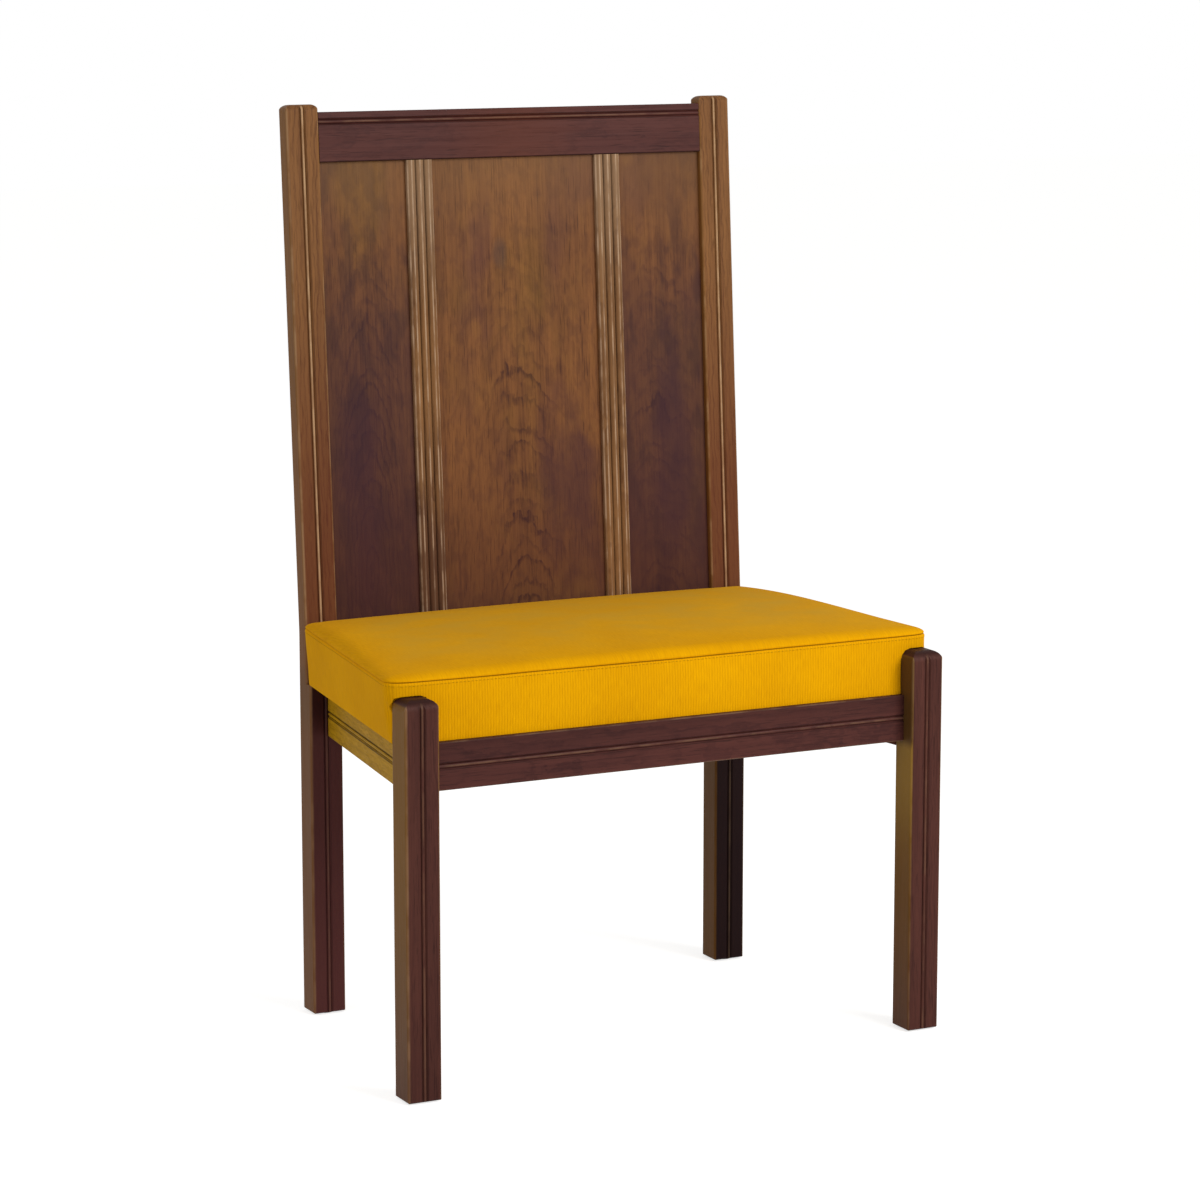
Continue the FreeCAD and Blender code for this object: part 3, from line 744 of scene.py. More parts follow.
HEM_CELL = 0.008  # length of one piece of the hem
STAPLE_CELL = 0.01  # length of one piece of the staples' path
STAPLE_DROP = 0.0018  # from the board down to the staples
HEM_FRAY = 0.0016  # how uneven the hem's inner edge is
PUCKER = 0.0006  # how far the cloth puckers beside the seam
SHEEN_SIDE, SHEEN_REAR, SHEEN_FRONT = 0.06, 0.05, 0.11  # how far in from the rim the top's painted sheen and shade grows
SHEEN_START = 0.15  # share of those distances before the painted sheen and shade starts


def half_width(y):
    """Half the seat's width at a depth."""
    return LEG_HIGH.x - (y - LEG_HIGH.y) * SPLAY_SLOPE


def seat_outline(inset, radius):
    """Ring of points round the seat, counter-clockwise from the middle of the front left corner."""
    front, rear = SEAT_LOW.y + inset, SEAT_HIGH.y - inset
    drawn_in = inset / math.cos(SPLAY)
    corners = [
        Vector((-half_width(front) + drawn_in, front)),
        Vector((half_width(front) - drawn_in, front)),
        Vector((half_width(rear) - drawn_in, rear)),
        Vector((-half_width(rear) + drawn_in, rear)),
    ]
    arcs = []
    for index, corner in enumerate(corners):
        bend = max((radius if index < 2 else REAR_CORNER * radius) - inset, LEAST_BEND)
        before = (corners[index - 1] - corner).normalized()
        after = (corners[(index + 1) % 4] - corner).normalized()
        half = math.acos(max(-1.0, min(1.0, before.dot(after)))) / 2
        centre = corner + (before + after).normalized() * (bend / math.sin(half))
        start, end = corner + before * (bend / math.tan(half)), corner + after * (bend / math.tan(half))
        turn = math.pi - 2 * half
        first = math.atan2(start.y - centre.y, start.x - centre.x)
        steps = [first + turn * step / (2 * ARC) for step in range(2 * ARC + 1)]
        arcs.append([start, *(centre + bend * Vector((math.cos(a), math.sin(a))) for a in steps[1:-1]), end])
    ring = []
    for index, cells in enumerate((FRONT_CELLS, SIDE_CELLS, FRONT_CELLS, SIDE_CELLS)):
        here, there = arcs[index], arcs[(index + 1) % 4]
        run = [here[-1].lerp(there[0], step / cells) for step in range(1, cells)]
        ring += [*here[ARC:], *run, *there[:ARC]]
    return meet_notches(np.array([tuple(point) for point in ring]))


def meet_notches(ring):
    """Ring whose columns lie on the edges of the notches, where it reaches over the front legs."""
    for side, middle in ((-1, 0), (1, ACROSS)):
        if ring[middle][1] > NOTCH_Y - NOTCH_REACH:
            continue
        near = middle + side
        other = middle if ring[near][1] > NOTCH_Y else near + side
        gap = ring[other] - ring[near]
        ring[near] += gap * (NOTCH_Y - ring[near][1]) / gap[1]
        ring[near][1] = NOTCH_Y
        first = middle - side * ARC
        run = side * NOTCH_X - ring[first][0]
        for step, part in reversed(list(enumerate(NOTCH_SPREAD))):
            ring[first - side * step][0] = side * NOTCH_X - run * (1 - part)
    return ring


def at_height(ring, z):
    """Ring of plan points lifted to a height."""
    return np.column_stack([ring, np.full(len(ring), z)])


def fill_grid(ring):
    """Grid of points inside a ring, spread evenly between its four sides."""
    front, right = ring[: ACROSS + 1], ring[ACROSS : ACROSS + BACK + 1]
    rear = ring[ACROSS + BACK : 2 * ACROSS + BACK + 1][::-1]
    left = np.vstack([ring[2 * ACROSS + BACK :], ring[:1]])[::-1]
    u = np.linspace(0, 1, ACROSS + 1)[None, :, None]
    v = np.linspace(0, 1, BACK + 1)[:, None, None]
    ruled = (1 - v) * front[None] + v * rear[None] + (1 - u) * left[:, None] + u * right[:, None]
    corners = (1 - u) * (1 - v) * front[0] + u * (1 - v) * front[-1]
    corners = corners + (1 - u) * v * rear[0] + u * v * rear[-1]
    return ruled - corners


def over_leg(ring):
    """Columns of the ring that stand over a front leg."""
    return (np.abs(ring[:, 0]) > NOTCH_X) & (ring[:, 1] < NOTCH_Y)


def leg_top(places):
    """Height of a front leg's rounded top at places over it."""
    flat = np.array([LEG_HIGH.x - LEG_LOW.x, LEG_HIGH.y - LEG_LOW.y]) / 2 - LEG_ROUND
    off_centre = np.abs(np.column_stack([np.abs(places[:, 0]) - LEG_X, places[:, 1] - LEG_Y]))
    fall = np.clip(off_centre - flat, 0.0, LEG_ROUND).max(axis=1)
    return LEG_HIGH.z - LEG_ROUND + np.sqrt(LEG_ROUND**2 - fall**2)


def lip_heights(ring, legs):
    """Height of the cover's lip in each column: close over the legs' rounded tops and level elsewhere."""
    heights = np.full(len(ring), LIP_Z)
    beside = widened(legs)
    heights[beside] = leg_top(ring[beside]) + LIP_GAP
    return heights


def widened(legs):
    """Columns over the front legs and the next ones beside them."""
    return legs | np.roll(legs, 1) | np.roll(legs, -1)


def step_round_legs(ring, legs, square):
    """Ring stepped in round the legs' inner and rear faces, and squared behind the legs by a share."""
    stepped = ring.copy()
    for side in (-1, 1):
        columns = [c for c in range(-BACK, ACROSS + BACK) if legs[c] and ring[c][0] * side > 0][::side]
        near, after, beyond = (ring[columns[-1] + step * side] for step in (1, 2, 3))
        straight = after + (after - beyond) * (NOTCH_Y - after[1]) / (after[1] - beyond[1])
        start, end = ring[columns[0] - side], near + (straight - near) * square
        stepped[columns[-1] + side] = end
        corner = np.array([side * NOTCH_X, NOTCH_Y])
        inner, rear = np.linalg.norm(start - corner), np.linalg.norm(end - corner)
        cells = len(columns) + 1
        turn = max(1, round(cells * inner / (inner + rear)))
        for index, column in enumerate(columns, 1):
            if index <= turn:
                stepped[column] = start + (corner - start) * index / turn
            else:
                stepped[column] = corner + (end - corner) * (index - turn) / (cells - turn)
    return stepped


class Cover:
    """The seat cover as a grid on top and rows of points round its side, sharing one topology."""

    def __init__(self, grid, rows, lip, legs):
        self.grid, self.rows, self.lip, self.legs = grid, rows, lip, legs

    def numbers(self):
        """Point numbers of the grid and the rows; the lip's inner row shares points away from the legs."""
        across, back = ACROSS + 1, BACK + 1
        grid = np.arange(across * back).reshape(back, across)
        edge = [*grid[0, :-1], *grid[:-1, -1], *grid[-1, :0:-1], *grid[:0:-1, 0]]
        rows, count = [np.array(edge)], across * back
        for index, row in enumerate(self.rows):
            own = np.arange(count, count + len(row))
            count += len(row)
            rows.append(own if index != self.lip else np.where(self.legs, own, rows[-1]))
        return grid, rows

    def points(self):
        """All points in one array."""
        return np.vstack([self.grid.reshape(-1, 3), *self.rows])

    def faces(self):
        """Faces of the cover, and for each the row that it hangs from, or None on top."""
        grid, rows = self.numbers()
        faces = [
            (grid[j, i], grid[j, i + 1], grid[j + 1, i + 1], grid[j + 1, i])
            for j in range(BACK)
            for i in range(ACROSS)
        ]
        owners = [None] * len(faces)
        total = len(rows[0])
        for index, (upper, lower) in enumerate(zip(rows, rows[1:])):
            for c in range(total):
                d = (c + 1) % total
                face = list(dict.fromkeys((lower[c], lower[d], upper[d], upper[c])))
                if len(face) > 2:
                    faces.append(tuple(face))
                    owners.append((index, c))
        return [tuple(int(n) for n in face) for face in faces], owners

    def moved(self, points):
        """The same cover with its points moved."""
        count = self.grid.size // 3
        total = len(self.rows[0])
        rows = [points[count + k * total : count + (k + 1) * total].copy() for k in range(len(self.rows))]
        rows[self.lip][~self.legs] = rows[self.lip - 1][~self.legs]
        return Cover(points[:count].reshape(self.grid.shape), rows, self.lip, self.legs)


def side_bow():
    """Bow along each side of a row: 0 at the corners and 1 in the middle."""
    across, back = (np.sin(np.linspace(0, math.pi, cells + 1)[:-1]) for cells in (ACROSS, BACK))
    return np.concatenate([across, back, across, back])


def rim_rise():
    """Rise of the rim: half as high along the front and the rear as along the sides."""
    level = 0.5 * np.sin(np.linspace(0, math.pi, ACROSS + 1)[:-1]) ** 0.7
    raised = np.sin(math.pi * np.linspace(0, 1, BACK + 1) ** 1.6) ** 0.8
    return np.concatenate([level, raised[:-1], level, raised[:0:-1]])


def draw_in(row, pull):
    """Row with its sides drawn in and down between the corners, a little unevenly."""
    uneven = side_bow()[:, None] + 0.4 * ripple(row, 14.0, 9.0)
    return row - (outward(row) + np.array([0.0, 0.0, 1.0])) * pull * uneven


def lean_out(row, plan, seat, tuck=1.0):
    """Row whose left side leans out over its rail, most at the front, and by a share beside a leg."""
    base = SEAT_LOW.z
    rise = np.clip((row[:, 2] - base) / (SEAM_Z - base), 0.0, 1.0) ** 0.8
    left = np.clip(-outward(at_height(plan, 0.0))[:, 0], 0.0, 1.0)
    rearward = np.clip((plan[:, 1] - SEAT_LOW.y) / (SEAT_HIGH.y - SEAT_LOW.y), 0.0, 1.0)
    stepped = (np.abs(row[:, :2] - plan) > 1e-9).any(axis=1)
    notch_width = half_width(NOTCH_Y) - FIT_GAP - NOTCH_X
    beside_leg = np.clip((np.abs(row[:, 0]) - NOTCH_X) / notch_width, 0.0, 1.0)
    part = np.where(stepped, tuck * beside_leg, 1.0)
    leaned = row.copy()
    leaned[:, 0] -= seat.lean * rise * left * (1.0 - LEAN_LOSS * rearward) * part
    return leaned


def slack_cover(seat):
    """The cover before it is filled: a little smaller than the finished seat."""
    slack = seat.slack
    ring = seat_outline(seat.rim + slack, seat.corner)
    top = SEAT_HIGH.z - 0.5 * slack
    sag = seat.dip * (rim_rise() - 0.25)
    rim = lean_out(at_height(ring, top), ring, seat)
    rim[:, 2] += sag
    grid = fill_grid(rim)
    rows = []
    for degrees in (30, 60, 90):
        turn = math.radians(degrees)
        inset = seat.rim * (1 - math.sin(turn)) + slack * (1 - 0.5 * math.sin(turn))
        height = top - (top - SEAM_Z) * (1 - math.cos(turn))
        outline = seat_outline(inset, seat.corner)
        row = lean_out(at_height(outline, height), outline, seat)
        row[:, 2] += sag * math.cos(turn)
        rows.append(row)
    lip_inset = 0.85 * slack
    lip_outline = seat_outline(lip_inset, seat.corner)
    legs = over_leg(lip_outline)
    lip_z = lip_heights(lip_outline, legs)
    boxed_side = ((SEAM_Z - 0.0040, 0.7 * slack), (SEAM_Z - 0.0085, 0.8 * slack), (lip_z, lip_inset))
    for height, inset in boxed_side:
        outline = seat_outline(inset, seat.corner)
        rows.append(lean_out(at_height(outline, height), outline, seat))
    for index, part in enumerate((0.3, 0.8, 1.0, 0.9, 0.6)):
        rows[index] = draw_in(rows[index], part * seat.pull)
    lip = len(rows)
    base = SEAT_LOW.z + BASE_GAP
    start = np.where(legs, LIP_Z, lip_z)
    for step in range(ROWS_BELOW + 1):
        fall = step / ROWS_BELOW
        inset = lip_inset * (1 - fall) + 0.0003 * fall + slack * 0.5 * math.sin(math.pi * fall)
        outline = seat_outline(inset, seat.corner)
        stepped = step_round_legs(outline, legs, min(1.0, 1.5 * fall))
        row = at_height(stepped, start + (base - start) * fall)
        rows.append(lean_out(row, outline, seat, max(0.1, 1.0 - 3.6 * fall)))
    return Cover(grid, rows, lip, legs)


SEAM_ROW = 2  # row of the cover that is sewn


def fill_cover(cover, seat):
    """Fills the cover by a pressure simulation, with the rim, the seam and the tacked edge held."""
    faces, _ = cover.faces()
    start = cover.points()
    _, rows = cover.numbers()
    held = {int(n) for row in (rows[0], rows[SEAM_ROW + 1], *rows[-2:]) for n in row}
    held |= {int(n) for row in rows[cover.lip :] for n in row[widened(cover.legs)]}
    blank = mesh_object("cover_blank", start, faces)
    group = blank.vertex_groups.new(name="held")
    group.add(sorted(held), 1.0, "REPLACE")
    cloth = blank.modifiers.new("Filling", "CLOTH")
    cloth.point_cache.frame_start, cloth.point_cache.frame_end = 1, FILL_FRAMES
    settings = cloth.settings
    settings.quality = 5
    settings.mass = 0.002
    settings.tension_stiffness = settings.compression_stiffness = 12.0
    settings.shear_stiffness = 6.0
    settings.bending_stiffness = 0.4
    settings.use_pressure = True
    settings.uniform_pressure_force = seat.pressure
    settings.vertex_group_mass = "held"
    settings.effector_weights.gravity = 0.0
    scene = bpy.context.scene
    for step in range(1, FILL_FRAMES + 1):
        scene.frame_set(step)
    graph = bpy.context.evaluated_depsgraph_get()
    filled = blank.evaluated_get(graph).to_mesh()
    ends = np.empty(len(filled.vertices) * 3, np.float32)
    filled.vertices.foreach_get("co", ends)
    move = ends.reshape(-1, 3) - start
    scene.frame_set(1)
    bpy.data.objects.remove(blank)
    top = cover.grid.size // 3
    move[:top] *= seat.swell / move[:top, 2].max()
    return cover.moved(start + move)


def between(upper, lower, part):
    """Row of points part of the way from one row to the next."""
    return upper + (lower - upper) * part


def outward(row):
    """Level outward direction at each point of a row."""
    along = np.roll(row, -1, 0) - np.roll(row, 1, 0)
    out = np.column_stack([along[:, 1], -along[:, 0], np.zeros(len(row))])
    return out / np.maximum(np.linalg.norm(out, axis=1, keepdims=True), 1e-9)


def ripple(points, scale, seed):
    """Soft noise from -1 to 1 at each point."""
    return np.array([[noise.noise(Vector(p) * scale + Vector((seed, 0, 0)))] for p in points])


def sew_seam(cover, seat):
    """Adds close rows along the seam, pulls the seam in and lets the cloth pucker beside it."""
    rows = cover.rows
    above, seam, under = rows[SEAM_ROW - 1], rows[SEAM_ROW], rows[SEAM_ROW + 1]
    out = outward(seam)
    pucker = ripple(seam, 85.0, 3.0)
    close = [
        (between(above, seam, 0.50), 0.0004, 0.5),
        (between(above, seam, 0.80), -0.1 * seat.seam_depth, 0.7),
        (seam, -seat.seam_depth, 0.2),
        (between(seam, under, 0.30), -0.1 * seat.seam_depth, 0.7),
        (between(seam, under, 0.68), 0.0003, 0.5),
    ]
    sewn = [row + out * (shift + PUCKER * share_of * pucker) for row, shift, share_of in close]
    return Cover(cover.grid, [*rows[:SEAM_ROW], *sewn, *rows[SEAM_ROW + 1 :]], cover.lip + 4, cover.legs)


def clear_of_neighbours(points):
    """Keeps the cushion off the rear posts and the back, and above the seat rails and the front legs."""
    points[:, 1] = np.minimum(points[:, 1], SEAT_HIGH.y)
    points[:, 2] = np.maximum(points[:, 2], SEAT_LOW.z + BASE_GAP)
    edge = 0.001
    above_leg = (np.abs(points[:, 0]) > NOTCH_X + edge) & (points[:, 1] < NOTCH_Y - edge)
    points[above_leg, 2] = np.maximum(points[above_leg, 2], leg_top(points[above_leg]) + FIT_GAP)
    return points


def seam_shade(seam):
    """How much painted shade the seam gets at each of its points: more along the front than elsewhere."""
    facing = -outward(seam)[:, 1]
    return 0.35 + 0.40 * np.clip((facing - 0.3) / 0.5, 0.0, 1.0)


def cover_mesh(cover, name):
    """Object of the sewn cover, with its cloth map in metres, its seam marked for painted shade and its top
    marked for painted sheen and shade.
    """
    points = clear_of_neighbours(cover.points())
    faces, owners = cover.faces()
    made = mesh_object(name, points, faces)
    mesh = made.data
    seam = cover.rows[SEAM_ROW + 2]
    steps = np.linalg.norm(np.roll(seam, -1, 0) - seam, axis=1)
    round_at = np.concatenate([[0.0], np.cumsum(steps)])
    _, rows = cover.numbers()
    cloth_map = mesh.uv_layers.new(name="cloth")
    flat = np.zeros((len(mesh.loops), 2), np.float32)
    total = len(seam)
    for face, owner in zip(mesh.polygons, owners):
        for loop in face.loop_indices:
            number = mesh.loops[loop].vertex_index
            x, y, z = points[number]
            if owner is None or owner[0] <= SEAM_ROW + 2:
                flat[loop] = (x, y)
            else:
                row, c = owner
                d = (c + 1) % total
                left_end, right_end = ((rows[row][k], rows[row + 1][k]) for k in (c, d))
                right = number in right_end and number not in left_end
                flat[loop] = (round_at[c + 1] if right else round_at[c], z)
    cloth_map.data.foreach_set("uv", flat.ravel())
    seam_marks, top_marks, upper_marks = np.zeros((3, len(points)), np.float32)
    # Marks for the painted shade along the seam
    seam_marks[rows[SEAM_ROW + 3]] = seam_shade(seam)
    upper_marks[: cover.grid.size // 3] = 1.0
    for row in rows[1 : SEAM_ROW + 3]:
        upper_marks[row] = 1.0
    # Marks for the painted sheen and shade on the top, growing in from the rim
    top = points[: cover.grid.size // 3]
    from_side = (half_width(top[:, 1]) - np.abs(top[:, 0])) / SHEEN_SIDE
    inset = np.minimum(from_side, (SEAT_HIGH.y - top[:, 1]) / SHEEN_REAR)
    inset = np.minimum(inset, (top[:, 1] - SEAT_LOW.y) / SHEEN_FRONT)
    top_marks[: len(top)] = np.clip(inset - SHEEN_START, 0.0, 1.0)
    for label, marks in (("seam", seam_marks), ("top", top_marks), ("upper", upper_marks)):
        mesh.attributes.new(label, "FLOAT", "POINT").data.foreach_set("value", marks)
    return made


def crisp_notches(made, cover):
    """Keeps the edges of the notches round the front legs sharp when the cover is smoothed."""
    _, rows = cover.numbers()
    notch = np.zeros(len(made.data.vertices), bool)
    for row in rows[cover.lip :]:
        notch[row[widened(cover.legs)]] = True
    pairs = np.empty(len(made.data.edges) * 2, np.int32)
    made.data.edges.foreach_get("vertices", pairs)
    sharp = notch[pairs.reshape(-1, 2)].all(axis=1).astype(np.float32)
    made.data.attributes.new("crease_edge", "FLOAT", "EDGE").data.foreach_set("value", sharp)
    return made


def smooth_once(made):
    """One subdivision, applied."""
    divide = made.modifiers.new("Smooth", "SUBSURF")
    divide.levels = divide.render_levels = 1
    return settle(made)


def close_underside(mesh, thickness, roof):
    """Turns the lower edge in by the cloth's thickness, up round the seat board and across above it."""
    shape = bmesh.new()
    shape.from_mesh(mesh)
    shape.normal_update()
    rim = [edge for edge in shape.edges if edge.is_boundary]
    for step in ("in", "up"):
        inward = {}
        if step == "in":
            for vert in {v for edge in rim for v in edge.verts}:
                side = Vector((vert.normal.x, vert.normal.y, 0)).normalized()
                inward[vert.co.copy().freeze()] = side * -thickness
        grown = bmesh.ops.extrude_edge_only(shape, edges=rim)["geom"]
        for vert in (item for item in grown if isinstance(item, bmesh.types.BMVert)):
            if step == "in":
                vert.co += inward[vert.co.copy().freeze()]
            else:
                vert.co.z = roof
        rim = [edge for edge in shape.edges if edge.is_boundary]
    bmesh.ops.triangle_fill(shape, use_beauty=True, use_dissolve=False, edges=rim)
    bmesh.ops.recalc_face_normals(shape, faces=shape.faces)
    shape.to_mesh(mesh)
    shape.free()


def hem_path(inset):
    """Corners of a loop under the board, inside the seat rails."""
    front, rear = FRONT_RAIL_HIGH.y + inset, SIDE_RAIL_HIGH.y - inset
    side = inset / math.cos(SPLAY)

    def reach(y):
        return LEG_LOW.x - (y - LEG_HIGH.y) * SPLAY_SLOPE - side

    return [(-reach(front), front), (reach(front), front), (reach(rear), rear), (-reach(rear), rear)]


def sides(corners):
    """The two ends of each side of a closed loop."""
    return zip(corners, corners[1:] + corners[:1])


def along_side(here, there, cells):
    """Even points along a side, without its far end."""
    return [Vector(here).lerp(Vector(there), step / cells) for step in range(cells)]


def cells_between(here, there, gap):
    """How many cells of about one gap go along a side."""
    return max(2, round((Vector(there) - Vector(here)).length / gap))


def along_loop(corners, gap):
    """Points at about even spacing along a closed loop of corners."""
    points = []
    for here, there in sides(corners):
        points += along_side(here, there, cells_between(here, there, gap))
    return points


def add_hem(mesh, seat):
    """Adds the strip of cloth that is turned under the board and tacked there."""
    shape = bmesh.new()
    shape.from_mesh(mesh)
    outer_corners = hem_path(HEM_GAP)
    outer, inner = along_loop(outer_corners, HEM_CELL), []
    for outer_side, (first, last) in zip(sides(outer_corners), sides(hem_path(seat.hem))):
        inner += along_side(first, last, cells_between(*outer_side, HEM_CELL))
    stations = []
    for out_point, in_point in zip(outer, inner):
        frayed = noise.noise(Vector((*in_point, 0.0)) * 40.0) * HEM_FRAY
        in_point = in_point + (in_point - out_point).normalized() * frayed
        sag = 0.0003 + 0.0002 * noise.noise(Vector((*out_point, 1.0)) * 50.0)
        top, low = BOARD_LOW.z - 0.0001, BOARD_LOW.z - CLOTH_THICKNESS - sag
        profile = [(out_point, top), (in_point, top), (in_point, low + 0.0004), (out_point, low)]
        stations.append([shape.verts.new((*place, z)) for place, z in profile])
    for here, there in sides(stations):
        for k in range(4):
            n = (k + 1) % 4
            shape.faces.new((there[k], there[n], here[n], here[k]))
    shape.normal_update()
    shape.to_mesh(mesh)
    shape.free()


def cloth_material(seat):
    """Mustard ribbed cloth with painted shade along the sewn seam and painted sheen and shade on the top."""
    material, tree, shader = new_material("Mustard Cloth")
    spread = put(tree, "ShaderNodeUVMap", uv_map="cloth").outputs[0]
    upper = put(tree, "ShaderNodeAttribute", attribute_name="upper").outputs["Fac"]
    weave = place_group(
        tree,
        shared_group("Ribbed Cloth", make_cloth_group),
        Vector=spread,
        Cloth=opaque(seat.cloth),
        Shade=opaque(seat.cloth_shade),
        Rib=seat.rib,
        Yarn=seat.yarn,
        Relief=calc(tree, "MULTIPLY_ADD", upper, -0.75, 1.0),
    )
    top = put(tree, "ShaderNodeAttribute", attribute_name="top").outputs["Fac"]
    # Painted sheen haze and shade on the top of the seat, mottled
    top_mottle = speckle(tree, spread, (14.0, 22.0, 14.0), 4.0).outputs["Fac"]
    top_sheen_and_shade = calc(tree, "MULTIPLY", top, ramp(tree, top_mottle, 0.30, 0.72, 0.25, 0.85))
    colour = blend(tree, top_sheen_and_shade, weave["Color"], opaque(seat.cloth_top_sheen_and_shade))
    # Painted shade in the seam groove
    seam = put(tree, "ShaderNodeAttribute", attribute_name="seam").outputs["Fac"]
    dark = ramp(tree, seam, 0.10, 0.65, 0.0, 0.85)
    colour = blend(tree, dark, colour, opaque(linear(0x6E4400)))
    tree.links.new(colour, shader.inputs["Base Color"])
    shader.inputs["Roughness"].default_value = 0.85
    shader.inputs["Specular IOR Level"].default_value = 0.04
    shader.inputs["Sheen Weight"].default_value = 0.06
    shader.inputs["Sheen Roughness"].default_value = 0.45
    shader.inputs["Sheen Tint"].default_value = opaque(linear(0xFFD870))
    bump(tree, shader, weave["Height"], 0.35, 0.0006)
    return material


def thread_material(seat):
    """Twisted sewing thread."""
    material, tree, shader = new_material("Seam Thread")
    coords = put(tree, "ShaderNodeTexCoord").outputs["Object"]
    twist = speckle(tree, coords, (900.0, 900.0, 900.0)).outputs["Fac"]
    colour = blend(tree, twist, opaque(seat.thread), opaque(tuple(0.55 * c for c in seat.thread)))
    tree.links.new(colour, shader.inputs["Base Color"])
    shader.inputs["Roughness"].default_value = 0.7
    shader.inputs["Specular IOR Level"].default_value = 0.04
    bump(tree, shader, twist, 0.4, 0.0003)
    return material


def steel_material():
    """Zinc-plated steel with fine brushing and dull spots."""
    material, tree, shader = new_material("Plated Steel")
    coords = put(tree, "ShaderNodeTexCoord").outputs["Object"]
    spots = speckle(tree, coords, (420.0, 420.0, 420.0), 3.0).outputs["Fac"]
    brushed = speckle(tree, coords, (2200.0, 260.0, 260.0)).outputs["Fac"]
    colour = blend(tree, ramp(tree, spots, 0.45, 0.7), opaque(linear(0xA9A79F)), opaque(linear(0x77736A)))
    tree.links.new(colour, shader.inputs["Base Color"])
    tree.links.new(calc(tree, "MULTIPLY_ADD", spots, 0.35, 0.2), shader.inputs["Roughness"])
    shader.inputs["Metallic"].default_value = 0.9
    bump(tree, shader, brushed, 0.2, 0.0002)
    return material


def nylon_material():
    """Off-white moulded nylon, scuffed underneath."""
    material, tree, shader = new_material("Glide Nylon")
    coords = put(tree, "ShaderNodeTexCoord").outputs["Object"]
    scuff = speckle(tree, coords, (300.0, 60.0, 300.0), 4.0).outputs["Fac"]
    height = put(tree, "ShaderNodeSeparateXYZ", coords).outputs["Z"]
    low = ramp(tree, height, 0.0016, 0.0)
    worn = calc(tree, "MULTIPLY", ramp(tree, scuff, 0.45, 0.65), low)
    colour = blend(tree, worn, opaque(linear(0x4A4038)), opaque(linear(0x8A7C68)))
    tree.links.new(colour, shader.inputs["Base Color"])
    tree.links.new(calc(tree, "MULTIPLY_ADD", scuff, 0.3, 0.35), shader.inputs["Roughness"])
    bump(tree, shader, scuff, 0.2, 0.0003)
    return material


# Screws


def slotted_screw(name, head, head_height, shank, length):
    """Round-headed wood screw with a slot: its head above Z = 0 and its threaded shank below."""
    shape = bmesh.new()
    facets = 24
    pitch = 0.0022
    turns = int(0.7 * length / pitch)
    profile = [
        (0.0, head_height),
        (0.45 * head, 0.96 * head_height),
        (0.8 * head, 0.68 * head_height),
        (0.97 * head, 0.25 * head_height),
        (head, 0.0),
        (shank, 0.0),
        (shank, -0.3 * length),
    ]
    for turn in range(turns):
        top = -0.3 * length - turn * pitch
        thin = 1.0 - 0.75 * max(0.0, (turn - turns + 4) / 4)
        profile += [(shank * thin, top - 0.35 * pitch), (0.72 * shank * thin, top - 0.7 * pitch)]
    profile.append((0.0, -length))
    round_turns = [2 * math.pi * k / facets for k in range(facets)]
    rings = []
    for radius, z in profile:
        turns_here = round_turns if radius else [0.0]
        places = [(radius * math.cos(a), radius * math.sin(a), z) for a in turns_here]
        rings.append([shape.verts.new(place) for place in places])
    for upper, lower in zip(rings, rings[1:]):
        for k in range(facets):
            n = (k + 1) % facets
            corners = [ring[i % len(ring)] for ring, i in ((upper, k), (lower, k), (lower, n), (upper, n))]
            shape.faces.new(list(dict.fromkeys(corners)))
    bmesh.ops.recalc_face_normals(shape, faces=shape.faces)
    mesh = bpy.data.meshes.new(name)
    shape.to_mesh(mesh)
    shape.free()
    screw = bpy.data.objects.new(name, mesh)
    bpy.context.scene.collection.objects.link(screw)
    half_slot = 0.0005
    bar = mesh_object(
        "slot_bar",
        [
            (x, y, z)
            for x in (-1.2 * head, 1.2 * head)
            for y in (-half_slot, half_slot)
            for z in (0.55 * head_height, 2 * head_height)
        ],
        [(0, 1, 3, 2), (4, 6, 7, 5), (0, 4, 5, 1), (2, 3, 7, 6), (0, 2, 6, 4), (1, 5, 7, 3)],
    )
    cut = screw.modifiers.new("Slot", "BOOLEAN")
    cut.operation, cut.object, cut.solver = "DIFFERENCE", bar, "EXACT"
    settle(screw)
    bpy.data.objects.remove(bar)
    screw.data.shade_smooth()
    screw.data.set_sharp_from_angle(angle=math.radians(40))
    return screw


# Operators


